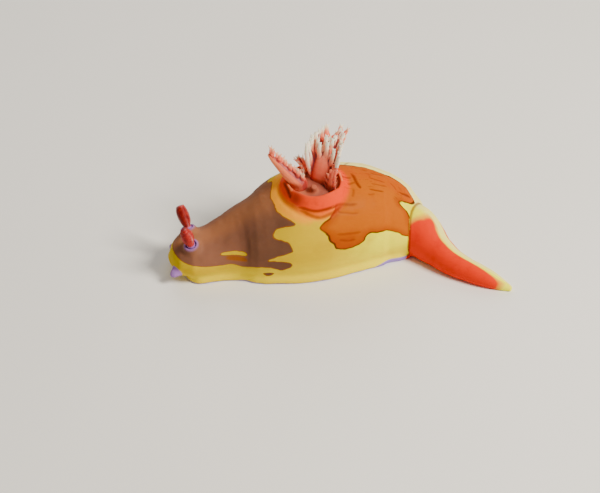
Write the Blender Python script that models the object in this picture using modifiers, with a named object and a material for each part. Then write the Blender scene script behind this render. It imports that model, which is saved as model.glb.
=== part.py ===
"""Nembrotha rutilans, a sea slug, life size and crawling on a flat floor with its head at -X.

The animal is a fat, smooth body on a flat foot. It has two rhinophores on the head, an oral
tentacle at each side of the mouth, a ring of gill leaves on the back and a long pointed tail that
bends aside behind the hump of the back. Sizes are in millimetres until MM turns them into metres.
The origin is on the floor under the middle of the gill.
"""

import math

import bmesh
import bpy
import numpy as np
from mathutils import Matrix, Vector

MM = 0.001
GAP = 0.3 * MM

# The trunk from the front of the head to the rear of the hump: x, y, width, height
TRUNK_STATIONS = (
    (-25.6, -5.8, 9.4, 6.5),
    (-22.2, -5.5, 9.8, 7.0),
    (-18.9, -4.8, 9.8, 7.4),
    (-15.8, -3.8, 11.0, 8.8),
    (-13.2, -3.1, 12.8, 10.5),
    (-10.0, -2.7, 15.4, 12.9),
    (-6.6, -1.9, 17.2, 15.0),
    (-1.4, -0.6, 18.3, 16.3),
    (3.8, 1.2, 17.8, 15.9),
    (8.9, 2.5, 16.6, 14.6),
    (12.4, 2.7, 14.9, 12.5),
    (15.2, 2.1, 12.7, 10.2),
    (18.7, 0.9, 11.2, 8.0),
)
HEAD_ROUNDING = 3.6 * MM
HUMP_ROUNDING = 4.2 * MM
END_RING = 0.12

# The tail from inside the hump to its tip: x, y, width, height
TAIL_STATIONS = (
    (12.8, 2.4, 7.6, 6.6),
    (15.6, 2.0, 8.4, 8.0),
    (17.6, 0.4, 7.8, 8.1),
    (19.4, -1.7, 6.6, 6.9),
    (21.2, -3.8, 5.3, 5.3),
    (23.0, -5.7, 4.6, 4.3),
    (26.3, -8.0, 3.9, 3.5),
    (29.8, -9.8, 3.0, 2.5),
    (33.0, -11.3, 0.9, 0.9),
)

# Sections of the trunk: the flank is widest below mid height and draws in to the foot
WIDEST_HEIGHT = 0.40
FLANK_FOOT_SHARE = 0.86
DOME_FULLNESS = 2.15
FOOT_TOP = 1.5 * MM
DOME_POINTS = 23
FLANK_POINTS = 4
SOLE_POINTS = 5

# Where the trunk is parted, as distances along it from the front of the head
NECK_CUT = 7.4 * MM
MIDDLE_CUT = 17.6 * MM
REAR_CUT = 33.6 * MM
RING_STEP = 1.3 * MM
HEAD_LIFT = 0.9 * MM
HEAD_LIFT_LENGTH = 3.4 * MM

FOOT_START = 2.3 * MM
FOOT_NOSE = 2.6 * MM
FOOT_SHARE = 0.93
FOOT_EDGE_ROUND = 0.35 * MM
FOOT_EDGE_POINTS = 7

TAIL_CUTS = (10.4 * MM, 17.0 * MM)

# Rhinophores: how far back, how far aside, and how they lean
RHINO_BACK = 3.7 * MM
RHINO_ASIDE = 2.25 * MM
RHINO_LEAN_BACK = -15.0
RHINO_LEAN_OUT = 16.0
SHEATH_OUTER = 1.45 * MM
SHEATH_RISE = 0.75 * MM
SHEATH_DEPTH = 1.2 * MM
STALK_RADIUS = 0.62 * MM
STALK_LENGTH = 1.5 * MM
CLUB_RADIUS = 0.98 * MM
CLUB_LENGTH = 3.9 * MM
CLUB_LAMELLAE = 9
LAMELLA_RELIEF = 0.16 * MM
RHINO_STEPS = 15

TENTACLE_BACK = 1.7 * MM
TENTACLE_LENGTH = 2.3 * MM
TENTACLE_WIDTH = 1.1 * MM
TENTACLE_THICK = 0.75 * MM

MOUTH_WIDTH = 2.0 * MM
MOUTH_LIP = 0.45 * MM

# The gill's collar, a raised fold of skin whose rim is level: it is tallest on the left flank
COLLAR_CENTRE = (-0.8 * MM, -1.9 * MM)
COLLAR_HALF_LENGTH = 5.05 * MM
COLLAR_HALF_WIDTH = 5.0 * MM
COLLAR_RIM = 16.6 * MM
COLLAR_LEAST_RISE = 0.9 * MM
COLLAR_WAVE = 0.12 * MM
COLLAR_WAVES = 5
COLLAR_SINK = 0.8 * MM
COLLAR_STEPS = 40
COLLAR_CLEAR = 1.0 * MM
# Its wall in section: out from its middle line in millimetres, and share of the rise
COLLAR_SECTION = (
    (-0.90, -1.0),
    (-0.86, 0.00),
    (-0.80, 0.60),
    (-0.70, 0.90),
    (-0.48, 1.00),
    (-0.22, 0.92),
    (0.08, 0.66),
    (0.36, 0.38),
    (0.82, 0.24),
    (1.20, 0.00),
    (1.15, -1.0),
)

PAPILLA_AT = (-0.9 * MM, -3.9 * MM)
PAPILLA_RADIUS = 0.75 * MM
PAPILLA_RISE = 1.3 * MM

# Each gill leaf: name, root x and y, bearing of its lean, reach and rise of its tip, half width
# and half thickness of its root, pairs of pinnae, their length in millimetres, how far they turn
# from the inner face to the edges, and how upright the leaf starts. Bearings run from the tail
# (0) over the animal's right side (90) to the head (180).
GILL_LEAVES = (
    ("gill_leaf_front", -2.5, -1.5, 168, 6.1, 5.1, 1.00, 0.80, 7, 2.3, 44, 0.25),
    ("gill_leaf_right_front", -2.3, 0.7, 150, 1.2, 1.9, 0.70, 0.60, 3, 1.6, 66, 0.60),
    ("gill_leaf_right", 0.6, -1.6, 66, 3.8, 6.9, 1.70, 0.90, 6, 4.4, 72, 0.60),
    ("gill_leaf_right_rear", 1.9, -0.1, 56, 4.0, 6.6, 0.65, 0.60, 5, 2.6, 70, 0.50),
    ("gill_leaf_rear", 2.1, -3.6, 50, 1.1, 4.2, 0.62, 0.50, 4, 1.6, 62, 0.60),
)
LEAF_POINTS = 8
LEAF_SIDES = 10
LEAF_SINK = 0.9 * MM
LEAF_TIP = 0.24
# Pinnae: where they start and stop along a leaf, how they spread, and their size in millimetres
PINNA_FIRST = 0.17
PINNA_LAST = 0.93
PINNA_SPREAD = (56.0, 18.0)
PINNA_WIDE = (0.38, 0.15)
PINNA_THICK = (0.29, 0.14)
PINNA_POINTS = 4
PINNA_SIDES = 5
PINNA_SINK = 0.4
PINNULE_AT = (0.40, 0.70)
PINNULE_SPREAD = 40.0
PINNULE_LENGTH = 1.0
PINNULE_HALF = (0.21, 0.11)
PINNULE_SIDES = 3
PINNATE_FROM = 2.0 * MM
LEAST_PINNA = 0.8 * MM
SEED = 7

GENITAL_AT = 12.2 * MM
GENITAL_HEIGHT = 0.52
GENITAL_RADIUS = 0.75 * MM

COLOURS = {
    "skin_orange": (0.83, 0.27, 0.05, 0.35),
    "skin_brown": (0.27, 0.09, 0.05, 0.38),
    "skin_cream": (0.86, 0.74, 0.40, 0.38),
    "foot_violet": (0.46, 0.34, 0.62, 0.40),
    "tail_red": (0.82, 0.12, 0.04, 0.35),
    "gill_red": (0.74, 0.15, 0.09, 0.33),
    "rhinophore_red": (0.62, 0.05, 0.03, 0.33),
}


def clear_scene():
    for thing in list(bpy.data.objects):
        bpy.data.objects.remove(thing)


def finish_colour(name):
    """The material of that name, with its colour and roughness."""
    found = bpy.data.materials.get(name)
    if found:
        return found
    red, green, blue, roughness = COLOURS[name]
    made = bpy.data.materials.new(name)
    made.use_nodes = True
    shader = made.node_tree.nodes["Principled BSDF"]
    shader.inputs["Base Color"].default_value = (red, green, blue, 1)
    shader.inputs["Roughness"].default_value = roughness
    shader.inputs["Metallic"].default_value = 0.0
    return made


def object_of(name, mesh, colour, home):
    made = bpy.data.objects.new(name, mesh)
    home.objects.link(made)
    mesh.materials.clear()
    mesh.materials.append(finish_colour(colour))
    return made


class Spine:
    """A smooth line on the floor that carries a width and a height."""

    def __init__(self, stations, front_round=0.0, rear_round=0.0):
        self.rows = np.array(stations) * MM
        steps = np.linalg.norm(np.diff(self.rows[:, :2], axis=0), axis=1)
        self.at = np.concatenate([[0.0], np.cumsum(steps)])
        self.slopes = np.gradient(self.rows, self.at, axis=0)
        self.length = self.at[-1]
        self.front_round = front_round
        self.rear_round = rear_round

    def row(self, s):
        """x, y, width and height at s, and their slopes, from a cubic between stations."""
        inside = min(max(s, 0.0), self.length)
        i = min(int(np.searchsorted(self.at, inside, side="right")) - 1, len(self.at) - 2)
        span = self.at[i + 1] - self.at[i]
        t = (inside - self.at[i]) / span
        a, b = self.rows[i], self.rows[i + 1]
        da, db = self.slopes[i] * span, self.slopes[i + 1] * span
        value = (
            a * (2 * t**3 - 3 * t**2 + 1)
            + da * (t**3 - 2 * t**2 + t)
            + b * (3 * t**2 - 2 * t**3)
            + db * (t**3 - t**2)
        )
        slope = (
            a * (6 * t**2 - 6 * t)
            + da * (3 * t**2 - 4 * t + 1)
            + b * (6 * t - 6 * t**2)
            + db * (3 * t**2 - 2 * t)
        ) / span
        return value + slope * (s - inside), slope

    def frame(self, s):
        """The point of the line, its direction and its right-hand side, at +Y for a line along +X."""
        value, slope = self.row(s)
        along = Vector((slope[0], slope[1], 0)).normalized()
        aside = Vector((-along.y, along.x, 0))
        return Vector((value[0], value[1], 0)), along, aside

    def size(self, s):
        """Width and height, drawn in at the rounded ends."""
        value, _ = self.row(s)
        share = 1.0
        if s < self.front_round:
            share = math.sqrt(max(0.0, 1 - (1 - s / self.front_round) ** 2))
        left = self.length - s
        if left < self.rear_round:
            share = math.sqrt(max(0.0, 1 - (1 - left / self.rear_round) ** 2))
        return value[2] * share, value[3] * share

    def stops(self, start, end, step):
        """Distances from start to end, closer together where an end is rounded."""
        count = max(2, round((end - start) / step))
        even = np.linspace(start, end, count + 1)
        front = end_stops(start, self.front_round)
        rear = self.length - end_stops(self.length - end, self.rear_round)
        kept = [s for s in even if self.front_round < s < self.length - self.rear_round]
        return sorted({*front, *kept, *rear, start, end})


def end_stops(start, rounding):
    """Distances across a rounded end where equal turns of its curve fall."""
    if start >= rounding:
        return []
    turns = np.linspace(END_RING, 1.0, 7)
    places = rounding * (1 - np.sqrt(1 - turns**2))
    return [float(p) for p in places if p > start]


def dome(width, height, bottom, grow=0.0):
    """Half outline of the body from the foot's groove up to the ridge, as (aside, up) pairs."""
    waist = bottom + (height - bottom) * WIDEST_HEIGHT
    half = width / 2 + grow
    rise = height - waist + grow
    draw_in = math.sqrt(1 - FLANK_FOOT_SHARE**2)
    fall = (waist - bottom) / draw_in
    flank = [
        (half * math.cos(a), waist - fall * math.sin(a))
        for a in np.linspace(math.asin(draw_in), 0, FLANK_POINTS, endpoint=False)
    ]
    power = 2 / DOME_FULLNESS
    turns = np.linspace(0, math.pi / 2, (DOME_POINTS + 1) // 2)
    top = [
        (half * max(0.0, math.cos(a)) ** power, waist + rise * math.sin(a) ** power)
        for a in turns
    ]
    return flank + top


def ring_of(frame, half_outline, floor_points, bottom):
    """A whole ring in space from a half outline that starts at the bottom and ends on the ridge."""
    place, _, aside = frame
    up = Vector((0, 0, 1))
    left = [(-u, v) for u, v in reversed(half_outline[:-1])]
    edge = half_outline[0][0]
    sole = [(u, bottom) for u in np.linspace(-edge, edge, floor_points + 2)[1:-1]]
    return [place + aside * u + up * v for u, v in [*half_outline, *left, *sole]]


def trunk_bottom(s):
    """Height of the body's underside above the floor: it lifts under the front of the head."""
    ahead = max(0.0, 1 - s / HEAD_LIFT_LENGTH)
    return FOOT_TOP + HEAD_LIFT * ahead**2


def trunk_ring(spine, s, grow=0.0):
    width, height = spine.size(s)
    bottom = trunk_bottom(s)
    height = max(height, bottom + 0.3 * MM)
    if s < spine.front_round:
        height = bottom + (spine.row(s)[0][3] - bottom) * (0.30 + 0.70 * width / spine.row(s)[0][2])
    outline = dome(width, height, bottom - grow, grow)
    return ring_of(spine.frame(s), outline, SOLE_POINTS, bottom - grow)


def loft(name, rings, colour, home, round_trip=False):
    """A closed surface through unlike rings, with a cap at each end or joined up on itself."""
    shape = bmesh.new()
    rows = [[shape.verts.new(p) for p in ring] for ring in rings]
    pairs = list(zip(rows, rows[1:]))
    if round_trip:
        pairs.append((rows[-1], rows[0]))
    for near, far in pairs:
        for i in range(len(near)):
            j = (i + 1) % len(near)
            shape.faces.new((near[i], near[j], far[j], far[i]))
    if not round_trip:
        shape.faces.new(list(reversed(rows[0])))
        shape.faces.new(rows[-1])
    bmesh.ops.recalc_face_normals(shape, faces=shape.faces)
    mesh = bpy.data.meshes.new(name)
    shape.to_mesh(mesh)
    shape.free()
    return object_of(name, mesh, colour, home)


def applied(thing):
    """Puts the mesh that the modifiers make in place of the object's own."""
    graph = bpy.context.evaluated_depsgraph_get()
    mesh = bpy.data.meshes.new_from_object(thing.evaluated_get(graph))
    thing.modifiers.clear()
    old = thing.data
    thing.data = mesh
    mesh.name = thing.name
    bpy.data.meshes.remove(old)
    return thing


def boolean(thing, others, operation, solver="EXACT"):
    """Joins or cuts by a collection of closed meshes, which is then removed."""
    group = bpy.data.collections.new("operands")
    bpy.context.scene.collection.children.link(group)
    for other in others:
        for home in list(other.users_collection):
            home.objects.unlink(other)
        group.objects.link(other)
    modifier = thing.modifiers.new("Boolean", "BOOLEAN")
    modifier.operation = operation
    modifier.solver = solver
    modifier.operand_type = "COLLECTION"
    modifier.collection = group
    applied(thing)
    for other in others:
        bpy.data.objects.remove(other)
    bpy.data.collections.remove(group)
    return keep_largest(thing)


def keep_largest(thing):
    """Leaves only the largest closed surface of the object."""
    shape = bmesh.new()
    shape.from_mesh(thing.data)
    shape.verts.ensure_lookup_table()
    unseen = set(shape.verts)
    groups = []
    while unseen:
        front = [unseen.pop()]
        group = set(front)
        while front:
            for edge in front.pop().link_edges:
                for corner in edge.verts:
                    if corner in unseen:
                        unseen.discard(corner)
                        group.add(corner)
                        front.append(corner)
        groups.append(group)
    groups.sort(key=lambda g: span_of(g), reverse=True)
    spare = [corner for group in groups[1:] for corner in group]
    bmesh.ops.delete(shape, geom=spare, context="VERTS")
    shape.to_mesh(thing.data)
    shape.free()
    return thing


def span_of(corners):
    """Diagonal of the box round these corners."""
    points = np.array([c.co for c in corners])
    return float(np.linalg.norm(points.max(0) - points.min(0)))


def turned(name, profile, steps, colour, home):
    """A turned shape from its outer side, read from top to bottom as (radius, height) pairs."""
    mesh = bpy.data.meshes.new(name)
    corners = [(radius, 0, height) for radius, height in profile]
    mesh.from_pydata(corners, [(i, i + 1) for i in range(len(corners) - 1)], [])
    made = object_of(name, mesh, colour, home)
    screw = made.modifiers.new("Screw", "SCREW")
    screw.steps = steps
    screw.render_steps = steps
    screw.use_merge_vertices = True
    screw.merge_threshold = 0.00001
    screw.use_smooth_shade = True
    return applied(made)


def shade(thing):
    thing.data.shade_smooth()
    thing.data.set_sharp_from_angle(angle=math.radians(50))


def surface_point(spine, s, aside, lift=0.0):
    """A point on the back at a distance along the trunk and a distance aside, and its normal."""
    width, height = spine.size(s)
    bottom = trunk_bottom(s)
    waist = bottom + (height - bottom) * WIDEST_HEIGHT

    def up_at(u):
        share = min(0.999, abs(u) / (width / 2))
        return waist + (height - waist) * (1 - share**DOME_FULLNESS) ** (1 / DOME_FULLNESS)

    place, _, across = spine.frame(s)
    nudge = 0.05 * MM
    slope = (up_at(aside + nudge) - up_at(aside - nudge)) / (2 * nudge)
    normal = (Vector((0, 0, 1)) - across * slope).normalized()
    return place + across * aside + Vector((0, 0, up_at(aside))) + normal * lift, normal


def along_of(spine, x):
    """Distance along the spine where it passes this x."""
    low, high = 0.0, spine.length
    for _ in range(40):
        middle = (low + high) / 2
        if spine.row(middle)[0][0] < x:
            low = middle
        else:
            high = middle
    return low


def trunk_length(name, spine, start, end, colour, home, grow=0.0):
    rings = [trunk_ring(spine, s, grow) for s in spine.stops(start, end, RING_STEP)]
    return loft(name, rings, colour, home)


def end_of(spine):
    """Where the last ring of the rounded rear end stands."""
    return spine.length - spine.rear_round * (1 - math.sqrt(1 - END_RING**2))


def start_of(spine):
    return spine.front_round * (1 - math.sqrt(1 - END_RING**2))


def trunk_envelope(spine, home, grow):
    """The whole trunk down to the floor, grown all round, as a cutter for the tail behind it."""
    rings = []
    for s in spine.stops(MIDDLE_CUT, end_of(spine), RING_STEP):
        width, height = spine.size(s)
        outline = dome(width, max(height, FOOT_TOP + grow), -GAP, grow)
        rings.append(ring_of(spine.frame(s), outline, SOLE_POINTS, -GAP))
    _, along, _ = spine.frame(spine.length)
    rings.append([point + along * grow for point in rings[-1]])
    return loft("trunk_envelope", rings, "skin_cream", home)


def rhinophore_frame(spine, side):
    """Where a rhinophore stands: its place on the head and the way that it leans."""
    place, normal = surface_point(spine, RHINO_BACK, side * RHINO_ASIDE)
    _, along, aside = spine.frame(RHINO_BACK)
    lean = (
        Vector((0, 0, 1))
        + along * math.tan(math.radians(RHINO_LEAN_BACK))
        + aside * side * math.tan(math.radians(RHINO_LEAN_OUT))
    ).normalized()
    turn = lean.to_track_quat("Z", "Y").to_matrix().to_4x4()
    return Matrix.Translation(place) @ turn


def place_mesh(thing, matrix):
    thing.data.transform(matrix)
    return thing


def sheath(name, frame, home):
    """The raised rim of skin that a rhinophore draws back into."""
    rim = SHEATH_RISE
    profile = [
        (0, rim),
        (SHEATH_OUTER * 0.78, rim),
        (SHEATH_OUTER * 0.92, rim * 0.82),
        (SHEATH_OUTER, rim * 0.35),
        (SHEATH_OUTER * 1.18, -0.2 * MM),
        (SHEATH_OUTER * 1.1, -SHEATH_DEPTH),
        (0, -SHEATH_DEPTH),
    ]
    return place_mesh(turned(name, profile, RHINO_STEPS, "skin_cream", home), frame)


def sheath_bore(name, frame, home):
    depth = SHEATH_DEPTH * 0.8
    radius = STALK_RADIUS + GAP
    profile = [(0, 2 * MM), (radius, 2 * MM), (radius, -depth), (0, -depth)]
    return place_mesh(turned(name, profile, RHINO_STEPS, "skin_cream", home), frame)


def rhinophore(name, frame, home):
    """A stalk with a club of stacked leaflets, which ends in a small blunt tip."""
    foot = -SHEATH_DEPTH * 0.8 + GAP
    club_foot = SHEATH_RISE * 0.5 + STALK_LENGTH * 0.4
    profile = [(0, club_foot + CLUB_LENGTH)]
    stops = 2 * CLUB_LAMELLAE
    for i in range(stops, -1, -1):
        t = i / stops
        body = CLUB_RADIUS * math.sin(math.pi * (0.20 + 0.66 * (1 - t))) ** 0.8
        ridge = LAMELLA_RELIEF * (0.5 if i % 2 else -0.5)
        profile.append((max(0.25 * MM, body + ridge), club_foot + CLUB_LENGTH * 0.96 * t))
    profile += [(STALK_RADIUS, club_foot - 0.25 * MM), (STALK_RADIUS, foot), (0, foot)]
    made = turned(name, profile, RHINO_STEPS, "rhinophore_red", home)
    return place_mesh(made, frame)


def oral_tentacle(name, spine, side, home):
    """A short flat lobe at the corner of the mouth, pointing forwards and down."""
    place, along, aside = spine.frame(TENTACLE_BACK)
    width, _ = spine.size(TENTACLE_BACK)
    bpy.ops.mesh.primitive_uv_sphere_add(segments=14, ring_count=9, radius=1)
    ball = bpy.context.object
    mesh = ball.data.copy()
    bpy.data.objects.remove(ball)
    made = object_of(name, mesh, "skin_cream", home)
    point = (-along * 0.75 + aside * side * 0.65 - Vector((0, 0, 0.22))).normalized()
    turn = point.to_track_quat("X", "Z").to_matrix().to_4x4()
    size = Matrix.Diagonal((TENTACLE_LENGTH, TENTACLE_WIDTH, TENTACLE_THICK, 1))
    root = place + aside * side * width * 0.36 + Vector((0, 0, FOOT_TOP + 1.1 * MM))
    return place_mesh(made, Matrix.Translation(root) @ turn @ size)


def lips(spine, home):
    """The puckered mouth under the front of the head, as a small flattened ring."""
    place, along, aside = spine.frame(0.55 * MM)
    bpy.ops.mesh.primitive_torus_add(
        major_segments=18,
        minor_segments=8,
        major_radius=MOUTH_WIDTH / 2,
        minor_radius=MOUTH_LIP,
    )
    ring = bpy.context.object
    mesh = ring.data.copy()
    bpy.data.objects.remove(ring)
    made = object_of("lips", mesh, "skin_cream", home)
    facing = (-along - Vector((0, 0, 0.9))).normalized()
    turn = facing.to_track_quat("Z", "Y").to_matrix().to_4x4()
    size = Matrix.Diagonal((1.0, 0.6, 0.9, 1))
    middle = place + Vector((0, 0, FOOT_TOP + 1.35 * MM))
    return place_mesh(made, Matrix.Translation(middle) @ turn @ size)


def head(spine, home):
    """The head: its dome, the two sheaths, the lips, and the bores that the stalks stand in."""
    made = trunk_length("head", spine, start_of(spine), NECK_CUT - GAP / 2, "skin_brown", home)
    frames = [rhinophore_frame(spine, side) for side in (-1, 1)]
    rims = [sheath(f"sheath_{i}", frame, home) for i, frame in enumerate(frames)]
    boolean(made, [*rims, lips(spine, home)], "UNION")
    bores = [sheath_bore(f"bore_{i}", frame, home) for i, frame in enumerate(frames)]
    return boolean(made, bores, "DIFFERENCE")


def neck(spine, home):
    """The front of the back, with the low swelling of the genital pore on the right flank."""
    made = trunk_length(
        "back_front", spine, NECK_CUT + GAP / 2, MIDDLE_CUT - GAP / 2, "skin_brown", home
    )
    place, _, aside = spine.frame(GENITAL_AT)
    width, height = spine.size(GENITAL_AT)
    bpy.ops.mesh.primitive_uv_sphere_add(segments=14, ring_count=8, radius=GENITAL_RADIUS)
    ball = bpy.context.object
    mesh = ball.data.copy()
    bpy.data.objects.remove(ball)
    swelling = object_of("swelling", mesh, "skin_cream", home)
    centre = place + aside * (width / 2 * 0.93) + Vector((0, 0, height * GENITAL_HEIGHT))
    place_mesh(swelling, Matrix.Translation(centre))
    return boolean(made, [swelling], "UNION")


def foot(spine, home):
    """The flat creeping sole with a rounded edge, from under the mouth to the rear of the hump."""
    start = FOOT_START
    end = spine.length - 1.4 * MM
    stops = [start + FOOT_NOSE * (1 - math.cos(a)) for a in np.linspace(0.28, math.pi / 2, 6)]
    count = round((end - stops[-1]) / (1.6 * MM))
    stops += list(np.linspace(stops[-1], end, count + 1)[1:])
    thick = FOOT_TOP - GAP
    rings = []
    for s in stops:
        width, _ = spine.size(s)
        ahead = max(0.0, 1 - (s - start) / FOOT_NOSE)
        half = FOOT_SHARE * width / 2 * math.sqrt(max(0.0, 1 - ahead**2))
        round_off = min(FOOT_EDGE_ROUND, half * 0.5)
        edge = [
            (half - round_off * (1 - math.sin(a)), thick / 2 * (1 - math.cos(a)))
            for a in np.linspace(0, math.pi, FOOT_EDGE_POINTS)
        ]
        place, _, aside = spine.frame(s)
        outline = [*edge, *((-u, v) for u, v in reversed(edge))]
        rings.append([place + aside * u + Vector((0, 0, v)) for u, v in outline])
    return loft("foot", rings, "foot_violet", home)


def tail_ring(spine, s):
    """A section of the tail, which stands on its own narrow sole."""
    width, height = spine.size(s)
    waist = height * 0.42
    half = width / 2
    power = 2 / DOME_FULLNESS
    draw_in = 0.42
    fall = waist / math.sin(math.acos(1 - draw_in))
    low = [
        (half * math.cos(a), waist - fall * math.sin(a))
        for a in np.linspace(math.acos(1 - draw_in), 0, FLANK_POINTS, endpoint=False)
    ]
    top = [
        (half * max(0.0, math.cos(a)) ** power, waist + (height - waist) * math.sin(a) ** power)
        for a in np.linspace(0, math.pi / 2, 9)
    ]
    return ring_of(spine.frame(s), low + top, 3, 0.0)


def tail(trunk, spine, home):
    """The tail in three lengths. The first is cut clear of the hump that it comes out from under."""
    limits = (0.0, *TAIL_CUTS, spine.length)
    names = ("tail_root", "tail_middle", "tail_tip")
    made = []
    for name, start, end in zip(names, limits, limits[1:]):
        first = start + (GAP / 2 if start else 0)
        last = end - (GAP / 2 if end < spine.length else 0)
        count = max(3, round((last - first) / (0.95 * MM)))
        rings = [tail_ring(spine, s) for s in np.linspace(first, last, count + 1)]
        made.append(loft(name, rings, "tail_red", home))
    boolean(made[0], [trunk_envelope(trunk, home, GAP)], "DIFFERENCE")
    return made


def back_at(spine, x, y, lift=0.0):
    """The point of the back over a place on the floor, its normal, and how steep it is there."""
    s = along_of(spine, x)
    for _ in range(6):
        place, along, across = spine.frame(s)
        s += (Vector((x, y, 0)) - place).dot(along)
    place, along, across = spine.frame(s)
    return surface_point(spine, s, (Vector((x, y, 0)) - place).dot(across), lift)


def collar(spine, home):
    """The fold of skin round the gill: its foot follows the back and its rim is nearly level."""
    rings = []
    for i in range(COLLAR_STEPS):
        turn = 2 * math.pi * i / COLLAR_STEPS
        wave = COLLAR_WAVE * math.sin(COLLAR_WAVES * turn)
        section = []
        for out, share in COLLAR_SECTION:
            x = COLLAR_CENTRE[0] + (COLLAR_HALF_LENGTH + out * MM) * math.cos(turn)
            y = COLLAR_CENTRE[1] + (COLLAR_HALF_WIDTH + out * MM) * math.sin(turn)
            ground = back_at(spine, x, y)[0].z
            rim = max(COLLAR_RIM + wave, ground + COLLAR_LEAST_RISE)
            rise = share * (rim - ground) if share >= 0 else -COLLAR_SINK
            section.append(Vector((x, y, ground + rise)))
        rings.append(section)
    return loft("gill_collar", rings, "gill_red", home, round_trip=True)


def leaf_line(spine, facts):
    """The middle line of a gill leaf as points, and the way that its breadth lies."""
    _, x, y, bearing, reach, rise, *_, bow = facts
    turn = math.radians(bearing)
    outward = Vector((math.cos(turn), math.sin(turn), 0))
    root = back_at(spine, x * MM, y * MM)[0]
    elbow = root + Vector((0, 0, rise * bow * MM))
    tip = root + outward * reach * MM + Vector((0, 0, rise * MM))
    points = [root - Vector((0, 0, LEAF_SINK))]
    for t in np.linspace(0, 1, LEAF_POINTS):
        points.append(root * (1 - t) ** 2 + elbow * 2 * t * (1 - t) + tip * t**2)
    return points, Vector((-outward.y, outward.x, 0))


def blade(name, points, sideways, halves, colour, home, sides=LEAF_SIDES):
    """A solid with oval sections along points; halves are its half widths and thicknesses."""
    rings = []
    last = len(points) - 1
    for i, (place, (wide, thick)) in enumerate(zip(points, halves)):
        way = (points[min(i + 1, last)] - points[max(i - 1, 0)]).normalized()
        inward = way.cross(sideways).normalized()
        rings.append(
            [
                place + sideways * wide * math.cos(a) + inward * thick * math.sin(a)
                for a in np.linspace(0, 2 * math.pi, sides, endpoint=False)
            ]
        )
    return loft(name, rings, colour, home)


def distance(point, start, end):
    """Distance from a point to a straight stretch."""
    run = end - start
    share = max(0.0, min(1.0, (point - start).dot(run) / run.length_squared))
    return (point - start - run * share).length


def is_clear(points, radius, name, taken):
    """Whether a finger keeps the gap to the other leaves and to the collar."""
    for point in points:
        for owner, start, end, thick in taken:
            if owner != name and distance(point, start, end) < radius + thick + GAP * 1.3:
                return False
        if point.z < COLLAR_RIM + COLLAR_WAVE + radius + GAP * 1.3:
            across = (point.x - COLLAR_CENTRE[0]) / (COLLAR_HALF_LENGTH - COLLAR_CLEAR - radius)
            away = (point.y - COLLAR_CENTRE[1]) / (COLLAR_HALF_WIDTH - COLLAR_CLEAR - radius)
            if across**2 + away**2 > 1:
                return False
    return True


def finger_line(root, way, outwards, spread, reach, count):
    """Points of a finger that leaves at the first angle from the way and bends to the second."""
    points = [root]
    for i in range(count - 1):
        angle = math.radians(np.interp(i, (0, count - 2), spread))
        points.append(points[-1] + (way * math.cos(angle) + outwards * math.sin(angle))
                      * reach / (count - 1))
    return points


def tapering(pair, count):
    return [np.interp(i, (0, count - 1), pair) * MM for i in range(count)]


def pinna(name, root, way, outwards, reach, taken, home):
    """One finger of a leaf with its pinnules, shortened until it is clear of the other leaves."""
    while True:
        points = finger_line(root, way, outwards, PINNA_SPREAD, reach, PINNA_POINTS)
        if is_clear(points[1:], PINNA_WIDE[0] * MM, name, taken):
            break
        reach *= 0.88
        if reach < LEAST_PINNA:
            return []
    spans = PINNA_POINTS - 1
    flat = way.cross(outwards).normalized()
    sideways = flat.cross(points[1] - points[0]).normalized()
    halves = list(zip(tapering(PINNA_WIDE, PINNA_POINTS), tapering(PINNA_THICK, PINNA_POINTS)))
    pieces = [blade("finger", points, sideways, halves, "gill_red", home, PINNA_SIDES)]
    taken.extend((name, a, b, PINNA_WIDE[0] * MM) for a, b in zip(points, points[1:]))
    if reach < PINNATE_FROM:
        return pieces
    for share in PINNULE_AT:
        i = int(share * spans)
        place = points[i].lerp(points[i + 1], share * spans - i)
        ahead = (points[i + 1] - points[i]).normalized()
        for side in (-1, 1):
            out = flat.cross(ahead).normalized() * side
            spread = (PINNULE_SPREAD, PINNULE_SPREAD)
            line = finger_line(place, ahead, out, spread, PINNULE_LENGTH * MM, 2)
            if not is_clear(line[1:], PINNULE_HALF[0] * MM, name, taken):
                continue
            half = tapering(PINNULE_HALF, 2)
            across = out.cross(flat)
            pieces.append(
                blade("pinnule", line, across, zip(half, half), "gill_red", home, PINNULE_SIDES)
            )
            taken.append((name, line[0], line[-1], PINNULE_HALF[0] * MM))
    return pieces


def rachis_halves(facts, count):
    """Half widths and thicknesses of a leaf's stem, from its sunk root to its tip."""
    wide, thick = facts[6:8]
    halves = []
    for i in range(count):
        t = max(0, i - 1) / (count - 2)
        lean = (1 - t) ** 0.8
        halves.append(((wide * lean + LEAF_TIP * t) * MM, (thick * lean + LEAF_TIP * t) * MM))
    return halves


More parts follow.
